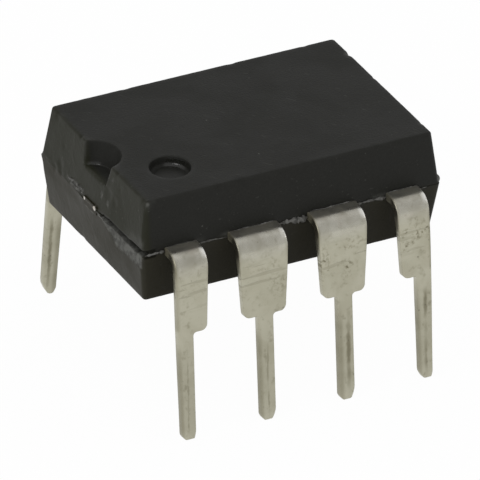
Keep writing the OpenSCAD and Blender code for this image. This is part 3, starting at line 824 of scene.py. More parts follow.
def addPocket(bm, place, rings, faceZ, sign, sides):
    # sign is 1 for a pocket in the top face and -1 for one in the underside
    previous = None
    for radius, depth in rings:
        ring = []
        for i in range(sides):
            a = 2 * math.pi * i / sides
            x, y = place[0] + radius * math.cos(a), place[1] + radius * math.sin(a)
            ring.append(bm.verts.new(toFrame(x, y, faceZ - sign * depth)))
        if previous:
            for i in range(sides):
                j = (i + 1) % sides
                quad = [previous[i], previous[j], ring[j], ring[i]]
                bm.faces.new(quad if sign > 0 else quad[::-1])
        previous = ring
    middle = bm.verts.new(toFrame(place[0], place[1], faceZ - sign * rings[-1][1]))
    for i in range(sides):
        triangle = [previous[i], previous[(i + 1) % sides], middle]
        bm.faces.new(triangle if sign > 0 else triangle[::-1])


def addFlat(bm, places, triangles, z, up):
    verts = [bm.verts.new(toFrame(p.x, p.y, z)) for p in places]
    for triangle in triangles:
        corners = [verts[i] for i in triangle]
        bm.faces.new(corners if up else corners[::-1])


def circlePoints(place, radius, sides):
    return [(place[0] + radius * math.cos(2 * math.pi * i / sides),
             place[1] + radius * math.sin(2 * math.pi * i / sides)) for i in range(sides)]


def makeBody(size):
    bm = bmesh.new()
    markSides, ejectorSides = 64, 56
    columns = outlineColumns(size)
    previous = None
    lastPlaces = firstPlaces = None
    for level in bodyLevels(size):
        lower = level["half"] == "lower"
        places = [outlinePlace(size, column, level) for column in columns]
        if level["bite"] == 1.0:
            softenNotchEdges(columns, places)
        places = [workedPlace(size, x, y, z, lower) for x, y, z in places]
        ring = [bm.verts.new(toFrame(*place)) for place in places]
        if previous:
            for i in range(len(ring)):
                j = (i + 1) % len(ring)
                bm.faces.new([previous[i], previous[j], ring[j], ring[i]])
        firstPlaces = firstPlaces or places
        previous, lastPlaces = ring, places

    # Top face round the mark
    mouth = 0.02
    hole = circlePoints(size["markPlace"], size["markRadius"] + mouth, markSides)
    loops = [[p[:2] for p in lastPlaces], hole]
    places, triangles = fillFlat(loops, evenPoints(loops, size["spacing"] * 1.15))
    addFlat(bm, places, triangles, size["upperHeight"], True)
    rings = pocketRings(size["markRadius"], size["markDepth"], size["markFillet"], size["pocketDraft"], mouth)
    addPocket(bm, size["markPlace"], rings, size["upperHeight"], 1, markSides)

    # Underside round the two ejector marks
    mouth = 0.01
    holes = [circlePoints(place, size["ejectorRadius"] + mouth, ejectorSides) for place in size["ejectorPlaces"]]
    loops = [[p[:2] for p in firstPlaces]] + holes
    places, triangles = fillFlat(loops, evenPoints(loops, size["spacing"] * 1.4))
    addFlat(bm, places, triangles, -size["lowerHeight"], False)
    rings = pocketRings(size["ejectorRadius"], size["ejectorDepth"], size["ejectorDepth"] / 2, size["pocketDraft"], mouth)
    for place in size["ejectorPlaces"]:
        addPocket(bm, place, rings, -size["lowerHeight"], -1, ejectorSides)

    bmesh.ops.remove_doubles(bm, verts=bm.verts, dist=1e-5 * mm)
    bmesh.ops.dissolve_degenerate(bm, edges=bm.edges, dist=1e-5 * mm)
    roughenBody(bm, size)
    keepSharp(bm, 38)
    markWear(bm, size)
    return meshObject("moulded_epoxy_body", bm, epoxy)


def spreadOut(values, times):
    # Each vertex shares its value with its neighbours
    for repeat in range(times):
        around = {vert: [values[edge.other_vert(vert)] for edge in vert.link_edges] for vert in values}
        values = {vert: 0.5 * values[vert] + 0.5 * sum(near) / len(near) for vert, near in around.items()}
    return values


def roughenBody(bm, size):
    # The rims are uneven, the faces hardly; all of it goes inwards
    bm.normal_update()
    onRim = spreadOut({vert: smooth(max(edge.calc_face_angle(0.0) for edge in vert.link_edges), 0.12, 0.3)
                       for vert in bm.verts}, 3)
    moves = []
    for vert in bm.verts:
        x, y, z = vert.co.x / mm, vert.co.y / mm, vert.co.z / mm - partingHeight
        depth = size["skinNoise"] * (0.5 + 0.5 * steady(x, y, z, 3.0, 1.3))
        depth += size["rimNoise"] * onRim[vert] * (0.5 + 0.5 * steady(x, y, z, 4.5, 9.2))
        for place, radius, deep in nicks:
            if abs(x - place[0]) < radius and abs(y - place[1]) < radius and abs(z - place[2]) < radius:
                away = math.dist((x, y, z), place) / radius
                if away < 1:
                    depth += deep * (1 - away ** 2) ** 2 * (0.7 + 0.6 * abs(steady(x, y, z, 9.0, 4.4)))
        moves.append((vert, vert.normal * -depth * mm))
    for vert, move in moves:
        vert.co += move
    bm.normal_update()


def markWear(bm, size):
    # Vertex values: "wear" for edges that stand out and rub first, one for breaks and a painted lit patch, "polish"
    # for the smoothest parts of the pockets and one for painted shade in the undercut and in the notch
    layers = {name: bm.verts.layers.float.new(name) for name in ("wear", "broken", "polish", "paintedShade")}
    turns = {}
    for vert in bm.verts:
        turns[vert] = smooth(max((edge.calc_face_angle_signed(0.0) for edge in vert.link_edges), default=0.0), 0.12, 0.45)
    notchFloor = size["upperHeight"] - size["notchDepth"]
    floorRadius = size["markRadius"] - size["markDepth"] * tangent(size["pocketDraft"]) - size["markFillet"]
    for vert, value in spreadOut(turns, 2).items():
        x, y, z = vert.co.x / mm, vert.co.y / mm, vert.co.z / mm - partingHeight
        broken = polish = 0.0
        low = gateLow(size, y)
        if x < -4.3 and z < 0.004 and low > 0.05:
            broken = smooth(z, -low - 0.03, -low + 0.03) * (1 - smooth(-y, 3.07, 3.13))
        if x < -4.3 and 0.0 < z < 0.6:
            # The slope above the undercut
            broken = 0.22 * smooth(-y, 1.9, 2.7) * (1 - smooth(-y, 3.07, 3.13)) * (1 - smooth(z, 0.3, 0.55))
        # Painted light: a facet at the far corner of the parting line is painted lighter, as if lit
        if x < -4.6 and y > 2.2 and z > -0.04:
            broken = 0.16 * smooth(y, 2.2, 2.6) * (1 - smooth(z, 0.10, 0.16))
        if x > 4.6 and math.hypot(y - size["ventPlace"][0], z - size["ventPlace"][1]) < size["ventRadius"] * 1.2:
            broken = 1.0
        if x < -4.6 and 0.5 < y < 1.6 and 0.0 < z < 0.4:
            # Torn skin beside the flash
            torn = smooth(steady(0, y, z, 5.0, 2.2), -0.15, 0.25) * smooth(1.6 - y, 0.0, 0.25)
            broken = max(broken, torn * (1 - smooth(abs(z - 0.14), 0.06, 0.14)))
        if y < -3.1 and -0.02 < z < 0.2 and x < 3.2:
            # A film of epoxy smeared over the parting line
            film = smooth(steady(x, 0, z, 2.3, 5.1), -0.05, 0.4) * (1 - smooth(z, 0.06, 0.2))
            broken = max(broken, 0.28 * film)
        for place, radius, deep in nicks:
            if deep >= 0.03:
                away = math.dist((x, y, z), place) / radius
                broken = max(broken, 0.7 * (1 - smooth(away, 0.5, 1.0)))
        markX, markY = x - size["markPlace"][0], y - size["markPlace"][1]
        fromMark = math.hypot(markX, markY)
        if fromMark < size["markRadius"] + 0.05 and z > 1.0:
            value = 0.0
            facing = (0.69 * markX + 0.72 * markY) / max(fromMark, 0.01)
            polish = mix(0.28, smooth(facing, 0.70, 0.95), smooth(fromMark, floorRadius - 0.03, floorRadius + 0.02))
            polish *= smooth(size["upperHeight"] - z, 0.02, 0.06)
        fromNotch = math.hypot(x + size["notchCentre"], y)
        if fromNotch < size["notchRadius"] and abs(z - notchFloor) < 0.25:
            value *= 0.15
            facing = (0.53 * (x + size["notchCentre"]) + 0.85 * y) / max(fromNotch, 0.01)
            polish = smooth(facing, 0.93, 0.985) * smooth(z, notchFloor - 0.002, notchFloor + 0.006)
            polish *= 1 - smooth(z, notchFloor + 0.04, notchFloor + 0.1)
            if x > endWall(size, z) + 0.05:
                broken = 0.07 * smooth(z, notchFloor - 0.04, notchFloor - 0.005) * (1 - smooth(z, notchFloor, notchFloor + 0.02))
        # Painted shade: darker in the undercut, in a corner of the notch floor and on the notch wall
        if -4.72 < x < -4.3 and -0.12 < z < 0.16 and y < -0.5:
            vert[layers["paintedShade"]] = smooth(x, endWall(size, z) + 0.06, endWall(size, z) + 0.12)
        if fromNotch < size["notchRadius"] and notchFloor + 0.003 < z < notchFloor + 0.1:
            if x + size["notchCentre"] < 0.2 * y and x > endWall(size, z) + 0.05:
                vert[layers["paintedShade"]] = 0.5
        if fromNotch < size["notchRadius"] and z > notchFloor + 0.1:
            vert[layers["paintedShade"]] = 0.16
        vert[layers["wear"]] = min(value * (1.3 if x < -4.3 else 0.5), 1.0)
        vert[layers["broken"]] = broken
        vert[layers["polish"]] = polish


body = makeBody(bodySize)
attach(body, "root")
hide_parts("moulded_body")
print("body made:", len(body.data.polygons), "faces")


# ---- flash along the parting line ----

flashSize = {
    "step": 0.025,         # between the rings of the ragged tube
    "radius": 0.062,
    "raggedness": 1.3,
    "lumpsPerMm": 5.0,
    "seed": 4.0,
}

# Where epoxy leaked between the mould halves: start and end, how thick at each, in mm from the parting plane
flashRuns = [
    ((-4.685, -3.195, 0.02), (-4.08, -3.195, 0.01), 0.35, 0.75), ((-3.02, -3.19, 0.02), (-2.06, -3.195, 0.0), 0.50, 0.12),
    ((-0.48, -3.195, -0.01), (0.48, -3.195, -0.03), 0.7, 1.5), ((2.06, -3.195, 0.0), (3.02, -3.195, 0.0), 0.55, 0.75),
    ((4.09, -3.195, 0.0), (4.35, -3.195, 0.0), 0.3, 0.1), ((-4.625, 3.195, 0.0), (-4.1, 3.195, 0.0), 0.4, 0.6),
    ((-3, 3.195, 0.0), (-2.1, 3.195, 0.0), 0.7, 0.4), ((-0.46, 3.195, 0.0), (0.46, 3.195, 0.0), 0.9, 0.5),
    ((2.08, 3.195, 0.0), (3, 3.195, 0.0), 0.4, 0.8), ((4.1, 3.195, 0.0), (4.625, 3.195, 0.0), 0.5, 0.35),
    ((-1.95, -3.185, 0.132), (-0.6, -3.185, 0.132), 0.22, 0.28), ((0.58, -3.185, 0.132), (1.95, -3.185, 0.132), 0.30, 0.20),
    ((3.12, -3.19, 0.132), (4.02, -3.19, 0.132), 0.26, 0.22), ((-4, -3.19, 0.132), (-3.1, -3.19, 0.132), 0.16, 0.20),
    ((-4.763, 1.46, 0.13), (-4.753, 1.08, 0.22), 0.45, 0.65), ((-4.77, 1.22, 0.11), (-4.767, 0.52, 0.1), 0.6, 0.75),
    ((-4.76, 0.95, 0.22), (-4.76, 0.6, 0.2), 0.5, 0.6), ((-4.81, 0.36, -0.1), (-4.81, -0.34, -0.11), 0.5, 0.5),
    ((-4.79, 0.24, 0.06), (-4.79, -0.14, 0.03), 0.35, 0.4), ((-4.79, -0.3, 0.0), (-4.783, -0.95, -0.08), 0.45, 0.3),
    ((4.78, 1.2, 0.01), (4.78, 0.45, 0.0), 0.3, 0.4),
    ((4.775, -0.45, 0.0), (4.775, -1.7, 0.0), 0.35, 0.2),
]


def makeFlashTree():
    # Paths with a vertex value "amount" become ragged closed tubes
    group = bpy.data.node_groups.new("mouldFlash", "GeometryNodeTree")
    sockets = group.interface
    sockets.new_socket("Paths", in_out="INPUT", socket_type="NodeSocketGeometry")
    for label in ("Step", "Radius", "Raggedness", "Lumps per metre", "Seed"):
        sockets.new_socket(label, in_out="INPUT", socket_type="NodeSocketFloat")
    sockets.new_socket("Material", in_out="INPUT", socket_type="NodeSocketMaterial")
    sockets.new_socket("Flash", in_out="OUTPUT", socket_type="NodeSocketGeometry")
    given = group.nodes.new("NodeGroupInput").outputs
    end = group.nodes.new("NodeGroupOutput")
    paths = addNode(group, "GeometryNodeMeshToCurve", {"Mesh": given["Paths"]})
    even = addNode(group, "GeometryNodeResampleCurve", {"Curve": paths.outputs[0], "Length": given["Step"]}, mode="LENGTH")
    amount = addNode(group, "GeometryNodeInputNamedAttribute", {"Name": "amount"}, data_type="FLOAT")
    place = group.nodes.new("GeometryNodeInputPosition").outputs[0]
    lumps = addNode(group, "ShaderNodeTexNoise", {"Vector": place, "W": given["Seed"], "Scale": given["Lumps per metre"],
                    "Detail": 3.0, "Roughness": 0.65}, noise_dimensions="4D")
    swell = ramp(group, lumps.outputs["Fac"], 0.32, 0.66, 0.25, 1.5)
    radius = calc(group, "MULTIPLY", calc(group, "MULTIPLY", amount.outputs["Attribute"], given["Radius"]), swell)
    profile = addNode(group, "GeometryNodeCurvePrimitiveCircle", {"Resolution": 8, "Radius": 1.0})
    tube = addNode(group, "GeometryNodeCurveToMesh", {"Curve": even.outputs[0], "Profile Curve": profile.outputs[0],
                   "Scale": radius, "Fill Caps": True})
    fineScale = calc(group, "MULTIPLY", given["Lumps per metre"], 3.2)
    crumble = addNode(group, "ShaderNodeTexNoise", {"Vector": place, "W": given["Seed"], "Scale": fineScale, "Detail": 2.0},
                      noise_dimensions="4D")
    centred = addNode(group, "ShaderNodeVectorMath", {0: crumble.outputs["Color"], 1: (0.5, 0.5, 0.5)}, operation="SUBTRACT")
    reach = calc(group, "MULTIPLY", calc(group, "MULTIPLY", given["Raggedness"], given["Radius"]),
                 amount.outputs["Attribute"])
    offset = addNode(group, "ShaderNodeVectorMath", {0: centred.outputs[0], "Scale": reach}, operation="SCALE")
    rough = addNode(group, "GeometryNodeSetPosition", {"Geometry": tube.outputs[0], "Offset": offset.outputs[0]})
    real = addNode(group, "GeometryNodeRealizeInstances", {"Geometry": rough.outputs[0]})
    done = addNode(group, "GeometryNodeSetMaterial", {"Geometry": real.outputs[0], "Material": given["Material"]})
    group.links.new(done.outputs[0], end.inputs["Flash"])
    return group


def makeFlash(size, material):
    mesh = bpy.data.meshes.new("flashPaths")
    verts, edges, amounts = [], [], []
    for start, end, first, last in flashRuns:
        count = max(int(math.dist(start, end) / 0.06), 2)
        base = len(verts)
        for i in range(count + 1):
            share = i / count
            x, y, z = (mix(start[k], end[k], share) for k in range(3))
            verts.append(toFrame(x, y, z + 0.03 * steady(x, y, 0, 2.6, 6.1)))
            amounts.append(mix(first, last, share) * (0.35 + 0.65 * smooth(min(share, 1 - share), 0.0, 0.12)))
        edges += [(base + i, base + i + 1) for i in range(count)]
    mesh.from_pydata(verts, edges, [])
    mesh.attributes.new("amount", "FLOAT", "POINT").data.foreach_set("value", amounts)
    holder = bpy.data.objects.new("flashPaths", mesh)
    bpy.context.scene.collection.objects.link(holder)
    tree = makeFlashTree()
    modifier = holder.modifiers.new("flash", "NODES")
    modifier.node_group = tree
    values = {"Step": size["step"] * mm, "Radius": size["radius"] * mm, "Raggedness": size["raggedness"],
              "Lumps per metre": size["lumpsPerMm"] * 1000, "Seed": size["seed"], "Material": material}
    for socket in tree.interface.items_tree:
        if socket.in_out == "INPUT" and socket.name in values:
            modifier[socket.identifier] = values[socket.name]
    bpy.context.view_layer.update()
    evaluated = holder.evaluated_get(bpy.context.evaluated_depsgraph_get())
    made = bpy.data.meshes.new_from_object(evaluated)
    bpy.data.objects.remove(holder)
    bm = bmesh.new()
    bm.from_mesh(made)
    # It leaks from the parting line but not past the ends of the tie bars
    limit = 4.805 * mm
    for vert in bm.verts:
        vert.co.x = min(max(vert.co.x, -limit), limit)
    bmesh.ops.recalc_face_normals(bm, faces=bm.faces)
    keepSharp(bm, 45)
    return meshObject("mould_flash", bm, material)


flash = makeFlash(flashSize, flashEpoxy)
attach(flash, "root")
print("flash made:", len(flash.data.polygons), "faces")


# ---- leads ----

leadSize = {
    "pitch": 2.54,
    "thickness": 0.25,
    "pinWidth": 0.48,
    "shoulderWidth": 1.56,   # at the body
    "stepWidth": 1.38,       # above the step
    "stepDrop": 2.3,
    "tipDrop": 5.61,
    "stepRadius": 0.2,
    "stepFillet": 0.1,
    "tipLength": 0.22,
    "tipWidth": 0.24,
    "bendRadius": 0.27,
    "splay": 6.5,
    "rowWidth": 7.75,
    "bodyHalfWidth": 3.15,
    "fingerWidth": 1.0,
    "middleTip": 1.5,        # inner end of a middle lead, from the middle of the body
    "cornerTip": (1.9, 0.69),
    "cornerFinger": (0.6, 0.5),
    "anchorRadius": 0.23,
    "anchorIn": 0.55,
    "edgeRadius": 0.03,
    "fine": 0.075,
    "coarse": 0.16,
    "waviness": 0.005,
}

# No two leads are cut and bent quite alike. For each: what the tip lost at its -X and +X corner (across
# and along), how much narrower the pin gets towards the tip, how far it stands off to +X, how much
# shorter it is, how much its wide part lost at the +X edge, where the crease runs in its narrow part and
# how dirty it is
leadQuirks = {
    1: {"tip": ((0.13, 0.14), (0.07, 0.22)), "narrower": 0.10, "aside": 0.0, "shorter": 0.012, "trimmed": 0.0, "crease": 0.0, "soil": 0.1},
    2: {"tip": ((0.12, 0.15), (0.135, 0.26)), "narrower": 0.04, "aside": 0.005, "shorter": 0.012, "trimmed": 0.03, "crease": 0.01, "soil": 0.15},
    3: {"tip": ((0.12, 0.14), (0.135, 0.30)), "narrower": 0.01, "aside": 0.005, "shorter": 0.012, "trimmed": 0.035, "crease": 0.07, "soil": 1.0},
    4: {"tip": ((0.17, 0.22), (0.07, 0.16)), "narrower": 0.15, "aside": 0.03, "shorter": 0.045, "trimmed": 0.0, "crease": 0.0, "soil": 0.75},
    5: {"tip": ((0.10, 0.20), (0.12, 0.16)), "narrower": 0.06, "aside": 0.01, "shorter": 0.02, "trimmed": 0.0, "crease": -0.05, "soil": 0.3},
    6: {"tip": ((0.13, 0.24), (0.11, 0.15)), "narrower": 0.03, "aside": -0.01, "shorter": 0.0, "trimmed": 0.02, "crease": 0.06, "soil": 0.6},
    7: {"tip": ((0.11, 0.14), (0.13, 0.22)), "narrower": 0.05, "aside": 0.012, "shorter": 0.01, "trimmed": 0.01, "crease": 0.0, "soil": 0.2},
    8: {"tip": ((0.24, 0.38), (0.12, 0.18)), "narrower": 0.09, "aside": -0.09, "shorter": 0.10, "trimmed": 0.0, "crease": 0.1, "soil": 0.7},
}

leadX = [-3.81, -1.27, 1.27, 3.81, 3.81, 1.27, -1.27, -3.81]


def bendFacts(size):
    splay = math.radians(size["splay"])
    half = size["thickness"] / 2
    outer = size["bendRadius"] + size["thickness"]
    bendZ = -(half + size["bendRadius"])
    bendY = (size["rowWidth"] / 2 - outer * math.cos(splay)
             - math.tan(splay) * (outer * math.sin(splay) + bendZ))
    middle = size["bendRadius"] + half
    arc = middle * (math.pi / 2 - splay)
    stepAt = (size["stepDrop"] + bendZ + middle * math.sin(splay)) / math.cos(splay)
    tipAt = (size["tipDrop"] + bendZ + size["bendRadius"] * math.sin(splay)) / math.cos(splay)
    return {"y": bendY, "z": bendZ, "middle": middle, "arc": arc, "turn": math.pi / 2 - splay,
            "stepAt": stepAt, "tipAt": tipAt}


def onSheet(bend, u, v, n):
    # From the flat blank (across, along, off its middle) to the formed lead
    if v <= 0:
        return u, bend["y"] + v, n
    turn = bend["turn"] * min(v / bend["arc"], 1.0)
    reach = bend["middle"] + n
    y = bend["y"] + reach * math.sin(turn)
    z = bend["z"] + reach * math.cos(turn)
    past = max(v - bend["arc"], 0.0)
    return u, y + past * math.cos(turn), z - past * math.sin(turn)


def arcPoints(cx, cy, radius, start, end, count):
    return [(cx + radius * math.cos(math.radians(start + (end - start) * i / count)),
             cy + radius * math.sin(math.radians(start + (end - start) * i / count))) for i in range(count + 1)]


def tipCorner(half, tipAt, cut):
    # One corner of the tip, from the pin's edge to the flat end, a little rounded
    across, along = cut
    points = [(half, tipAt - along * 1.3), (half - across * 0.08, tipAt - along * 0.95)]
    points += [(half - across * 0.45, tipAt - along * 0.42), (half - across * 0.8, tipAt - along * 0.09)]
    return points + [(half - across * 1.1, tipAt)]


def leadBlank(size, bend, corner, cuts):
    # Flat outline of a lead, from its finger in the epoxy to its tip
    half = size["pinWidth"] / 2
    inner = size["shoulderWidth"] / 2
    outer = half if corner else inner
    arc = bend["arc"]
    stepAt, tipAt = arc + bend["stepAt"], arc + bend["tipAt"]
    radius, fillet = size["stepRadius"], size["stepFillet"]
    stepHalf = size["stepWidth"] / 2
    stepEdge = [(inner, arc)]
    stepEdge += arcPoints(stepHalf - radius, stepAt - radius, radius, 0, 90, 7)
    stepEdge += arcPoints(half + fillet, stepAt + fillet, fillet, 270, 180, 5)
    stepped = stepEdge + tipCorner(half, tipAt, cuts[1])
    outside = ([(half, arc)] if corner else stepEdge) + tipCorner(half, tipAt, cuts[0])
    straight = size["bodyHalfWidth"] - size["anchorIn"] - size["anchorRadius"] - bend["y"]
    if corner:
        tipX, tipY = size["cornerTip"]
        long, wide = size["cornerFinger"]
        toMiddle = 1.5 * size["pitch"] - tipX
        near, far = tipY - bend["y"], tipY + wide - bend["y"]
        level = [(-outer, 0), (-outer, straight - 2 * size["anchorRadius"]), (toMiddle - long, near),
                 (toMiddle, near), (toMiddle, far), (toMiddle - long, far), (inner, straight), (inner, 0)]
    else:
        tip = size["middleTip"] - bend["y"]
        finger = size["fingerWidth"] / 2
        level = [(-outer, 0), (-outer, straight), (-finger, tip), (finger, tip), (inner, straight), (inner, 0)]
    return level + stepped + [(-u, v) for u, v in reversed(outside)]


def divided(size, loop, bend):
    # Short steps along an outline, finest round the bend
    points = []
    for i, start in enumerate(loop):
        end = loop[(i + 1) % len(loop)]
        length = math.dist(start, end)
        middle = (start[1] + end[1]) / 2
        spacing = size["coarse"] if middle < -0.6 else size["fine"]
        if -0.05 <= min(start[1], end[1]) and max(start[1], end[1]) < bend["arc"] + 0.05:
            spacing = 0.03
        count = max(int(math.ceil(length / spacing)), 1)
        points += [(mix(start[0], end[0], k / count), mix(start[1], end[1], k / count)) for k in range(count)]
    return points


def insetLoop(loop, gap):
    # The same loop moved inwards; a loop that turns clockwise is a hole and moves outwards
    count = len(loop)
    moved = []
    for i in range(count):
        before, here, after = Vector(loop[i - 1]), Vector(loop[i]), Vector(loop[(i + 1) % count])
        first = (here - before).normalized()
        second = (after - here).normalized()
        normal = Vector((-(first.y + second.y), first.x + second.x))
        if normal.length < 1e-6:
            normal = Vector((-first.y, first.x))
        normal.normalize()
        opening = max(normal.dot(Vector((-first.y, first.x))), 0.5)
        moved.append(tuple(here + normal * gap / opening))
    return moved


def blankPoints(size, loop, hole, bend):
    # Points inside the blank in rows: close together round the bend, wider inside the epoxy
    low, high = min(v for u, v in loop), max(v for u, v in loop)
    rows = []
    v = low + 0.08
    while v < high:
        fine = -0.02 < v < bend["arc"] + 0.02
        spacing = 0.03 if fine else (size["coarse"] if v < -0.6 else size["fine"])
        rows.append((v, max(spacing, size["fine"]) if v > -0.6 else spacing))
        v += spacing
    points = []
    for number, (v, across) in enumerate(rows):
        crossings = []
        for i in range(len(loop)):
            a, b = loop[i - 1], loop[i]
            if (a[1] > v) != (b[1] > v):
                crossings.append(a[0] + (v - a[1]) / (b[1] - a[1]) * (b[0] - a[0]))
        crossings.sort()
        for left, right in zip(crossings[::2], crossings[1::2]):
            count = max(int(round((right - left) / across)), 1)
            for k in range(1, count):
                u = mix(left, right, k / count)
                if math.dist((u, v), hole["middle"]) > hole["radius"] + 0.04:
                    points.append((u, v))
    return points


def makeLead(number):
    size = leadSize
    bend = bendFacts(size)
    corner = number in (1, 4, 5, 8)
    far = number > 4
    left = leadX[number - 1] < 0
    quirk = leadQuirks[number]
    cuts = quirk["tip"] if left else quirk["tip"][::-1]
    outline = divided(size, leadBlank(size, bend, corner, cuts), bend)
    innerHalf = size["shoulderWidth"] / 2
    outerHalf = size["pinWidth"] / 2 if corner else innerHalf
    hole = {"middle": ((innerHalf - outerHalf) / 2, size["bodyHalfWidth"] - size["anchorIn"] - bend["y"]),
            "radius": size["anchorRadius"]}
    holeLoop = circlePoints(hole["middle"], hole["radius"], 28)[::-1]
    half = size["thickness"] / 2
    edge = size["edgeRadius"]

    # Each loop goes over the edge from the outer face to the inner one
    turns = [0.0, 0.5, 1.0]
    profile = [(edge * (1 - math.sin(t * math.pi / 2)), half - edge * (1 - math.cos(t * math.pi / 2))) for t in turns]
    profile += [(inset, -n) for inset, n in reversed(profile)]
    flat = insetLoop(outline, edge)
    flatHole = insetLoop(holeLoop, edge)
    inner = blankPoints(size, flat, {"middle": hole["middle"], "radius": hole["radius"] + edge}, bend)
    places, kept = fillFlat([flat, flatHole], inner)

    bm = bmesh.new()
    uvLayer = bm.loops.layers.uv.new("sheet")
    soilLayer = bm.verts.layers.float.new("soil")
    paintedGlintLayer = bm.verts.layers.float.new("paintedGlint")
    sootLayer = bm.verts.layers.float.new("soot")
    leftEdge, rightEdge = (outerHalf, innerHalf) if left else (innerHalf, outerHalf)
    wideEnd = bend["arc"] + bend["stepAt"]
    sheetPlace = {}
    seed = number * 3.7

    def vertAt(u, v, n):
        # Worn, slightly wavy faces: the waves only take away
        wave = size["waviness"] * (0.5 + 0.5 * steady(u, v, 0, 1.6, seed + (5 if n < 0 else 0)))
        wave += 0.35 * size["waviness"] * (0.5 + 0.5 * steady(u, v, 0, 7.0, seed))
        side = 1 if n > 0 else -1
        depth = n - side * wave * smooth(abs(n), half * 0.5, half) if v > -0.3 else n
        down = smooth(v, bend["arc"] + bend["stepAt"] - 0.2, bend["arc"] + bend["tipAt"])
        x, y, z = onSheet(bend, u * (1 - quirk["narrower"] * down), v - quirk["shorter"] * down, depth)
        x = x if left else -x
        onLeft = (1 - 0.5 * smooth(v, 0.5, 0.9)) * (1 - smooth(v, wideEnd - 0.2, wideEnd - 0.1))
        soot = 0.8 * smooth(-x, leftEdge - 0.05, leftEdge - 0.01) * onLeft
        onRight = smooth(v, 0.45, 0.6) * (1 - smooth(v, wideEnd - 0.2, wideEnd - 0.1))
        soot = max(soot, 0.6 * smooth(x, rightEdge - 0.06, rightEdge - 0.01) * onRight)
        # Painted glint along the +X edge of the bend
        paintedGlint = smooth(x, rightEdge - 0.16, rightEdge - 0.05) * smooth(v, 0.05, 0.14) * (1 - smooth(v, 0.28, 0.42))
        x -= quirk["trimmed"] * smooth(x, 0.3, 0.7) * smooth(v, bend["arc"] + 0.4, bend["arc"] + bend["stepAt"])
        y = y if far else -y
        aside = quirk["aside"] * smooth(v, 0.0, bend["arc"] + 0.9)
        vert = bm.verts.new(toFrame(leadX[number - 1] + x + aside, y, z))
        vert[soilLayer] = quirk["soil"]
        vert[paintedGlintLayer] = paintedGlint
        vert[sootLayer] = soot
        sheetX = (u if left != far else -u) - quirk["crease"]
        sheetPlace[vert] = (sheetX * mm + number * 0.02, v * mm)
        return vert

    turned = left == far  # the drawn sheet is on the +Y side and the -X end

    def addFace(corners):
        face = bm.faces.new(corners if turned else corners[::-1])
        for loop in face.loops:
            loop[uvLayer].uv = sheetPlace[loop.vert]

    for side in (1, -1):
        verts = [vertAt(p.x, p.y, side * half) for p in places]
        for triangle in kept:
            corners = [verts[i] for i in triangle]
            # +u is to the right and +v runs outwards, so the blank is seen from its outer face
            addFace(corners if side > 0 else corners[::-1])
    for loop, way in ((outline, 1), (holeLoop, 1)):
        previous = None
        for inset, n in profile:
            ringPlaces = insetLoop(loop, inset) if inset > 1e-9 else loop
            ring = [vertAt(u, v, n) for u, v in ringPlaces]
            if previous:
                for i in range(len(ring)):
                    j = (i + 1) % len(ring)
                    addFace([previous[i], ring[i], ring[j], previous[j]])
            previous = ring
    bmesh.ops.remove_doubles(bm, verts=bm.verts, dist=1e-6 * mm)
    bm.normal_update()
    keepSharp(bm, 50)
    return meshObject(f"tinned_lead_{number}", bm, tin)


for number in range(1, 9):
    lead = makeLead(number)
    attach(lead, "root")
    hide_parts(f"lead_{number}")
print("leads made:", len(lead.data.polygons), "faces on the last one")


# ---- finish of what lies inside the epoxy ----

innerFinish = {"die_paddle": paddleMetal, "die_attach": paste, "silicon_die": silicon}
innerFinish.update({f"bond_wire_{number}": gold for number in range(1, 9)})
for name, material in innerFinish.items():
    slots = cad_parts[name].material_slots
    for slot in slots:
        slot.material = material
print("inner parts finished")


# ---- floor, light and camera ----

stage = {
    "floorHalf": 0.6,
    "floorColour": colour(0.86, 0.86, 0.86),
    "floorGlow": 0.97,       # share of plain white that the camera sees in the floor
    "horizonLight": 0.8,
    "ceilingLight": 0.75,
    "cameraTarget": (-4.4811, -8.4418, 8.9485 - partingHeight),
    "cameraTurn": -28.27,
    "cameraRise": 30.88,
    "cameraRoll": 1.461,
    "cameraAway": 267.477,
    "lens": 727.6,
}


def seenByEye(tree):
    # 1 for rays from the camera and for what is mirrored or seen through something
    path = tree.nodes.new("ShaderNodeLightPath").outputs
    seen = calc(tree, "MAXIMUM", path["Is Camera Ray"], path["Is Glossy Ray"])
    return calc(tree, "MAXIMUM", seen, path["Is Transmission Ray"])


def makeFloor():
    bm = bmesh.new()
    half = stage["floorHalf"]
    corners = [bm.verts.new((x * half, y * half, 0)) for x, y in ((-1, -1), (1, -1), (1, 1), (-1, 1))]
    bm.faces.new(corners)
    material = bpy.data.materials.new("paleFloor")
    material.use_nodes = True
    tree = material.node_tree
    tree.nodes.clear()
    end = tree.nodes.new("ShaderNodeOutputMaterial")
    lit = addNode(tree, "ShaderNodeBsdfDiffuse", {"Color": stage["floorColour"]})
    glow = addNode(tree, "ShaderNodeEmission", {"Color": colour(1, 1, 1), "Strength": 1.0})
    share = calc(tree, "MULTIPLY", seenByEye(tree), stage["floorGlow"])
    both = addNode(tree, "ShaderNodeMixShader", {0: share, 1: lit.outputs[0], 2: glow.outputs[0]})
    tree.links.new(both.outputs[0], end.inputs["Surface"])
    floor = meshObject("floor", bm, material)


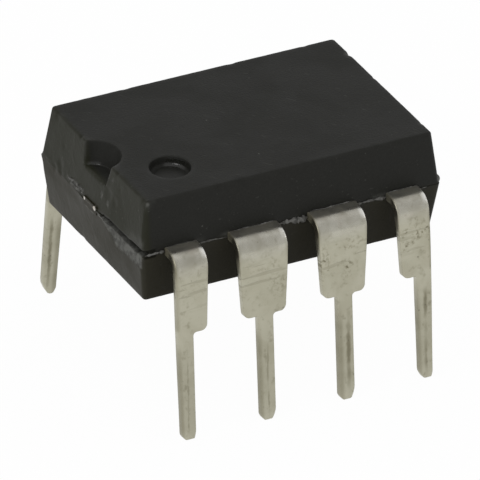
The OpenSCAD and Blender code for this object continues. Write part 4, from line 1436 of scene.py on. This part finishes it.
def makeWorld():
    # White walls round a darker ceiling; the camera always sees white
    world = bpy.data.worlds.new("paleStudio")
    world.use_nodes = True
    tree = world.node_tree
    tree.nodes.clear()
    end = tree.nodes.new("ShaderNodeOutputWorld")
    way = tree.nodes.new("ShaderNodeTexCoord").outputs["Generated"]
    height = addNode(tree, "ShaderNodeSeparateXYZ", {"Vector": way}).outputs["Z"]
    light = ramp(tree, height, 0.1, 0.75, stage["horizonLight"], stage["ceilingLight"])
    soft = addNode(tree, "ShaderNodeBackground", {"Color": colour(1, 1, 1), "Strength": light})
    white = addNode(tree, "ShaderNodeBackground", {"Color": colour(1, 1, 1), "Strength": 1.0})
    eye = tree.nodes.new("ShaderNodeLightPath").outputs["Is Camera Ray"]
    both = addNode(tree, "ShaderNodeMixShader", {0: eye, 1: soft.outputs[0], 2: white.outputs[0]})
    tree.links.new(both.outputs[0], end.inputs["Surface"])
    bpy.context.scene.world = world


lamps = [
    # name, direction it stands in (turn from -Y towards +X, rise), distance, size, light
    {"name": "keyLamp", "turn": -64, "rise": 30, "away": 0.35, "size": 0.18, "power": 0.31},
    {"name": "topLamp", "turn": 10, "rise": 80, "away": 0.35, "size": 0.30, "power": 0.05},
    {"name": "sideLamp", "turn": 66, "rise": 24, "away": 0.35, "size": 0.08, "power": 0.05},
]


def makeLamps():
    middle = toFrame(0, 0, 0)
    for lamp in lamps:
        data = bpy.data.lights.new(lamp["name"], "AREA")
        data.shape = "DISK"
        data.size = lamp["size"]
        data.energy = lamp["power"]
        turn, rise = math.radians(lamp["turn"]), math.radians(lamp["rise"])
        out = Vector((math.sin(turn) * math.cos(rise), -math.cos(turn) * math.cos(rise), math.sin(rise)))
        holder = bpy.data.objects.new(lamp["name"], data)
        holder.location = middle + out * lamp["away"]
        holder.rotation_euler = (-out).to_track_quat("-Z", "Y").to_euler()
        bpy.context.scene.collection.objects.link(holder)


def makeCamera():
    turn, rise, roll = (math.radians(stage[k]) for k in ("cameraTurn", "cameraRise", "cameraRoll"))
    back = Vector((math.sin(turn) * math.cos(rise), -math.cos(turn) * math.cos(rise), math.sin(rise)))
    right = Vector((math.cos(turn), math.sin(turn), 0))
    up = back.cross(right)
    across = math.cos(roll) * right + math.sin(roll) * up
    upward = -math.sin(roll) * right + math.cos(roll) * up
    data = bpy.data.cameras.new("camera")
    data.lens = stage["lens"]
    data.sensor_width = 36
    data.clip_start, data.clip_end = 0.01, 5
    camera = bpy.data.objects.new("camera", data)
    place = toFrame(*stage["cameraTarget"]) + back * stage["cameraAway"] * mm
    camera.matrix_world = Matrix((across, upward, back)).transposed().to_4x4()
    camera.location = place
    bpy.context.scene.collection.objects.link(camera)
    bpy.context.scene.camera = camera


makeFloor()
makeWorld()
makeLamps()
makeCamera()
bpy.context.scene.view_settings.view_transform = "Standard"
print("stage set")
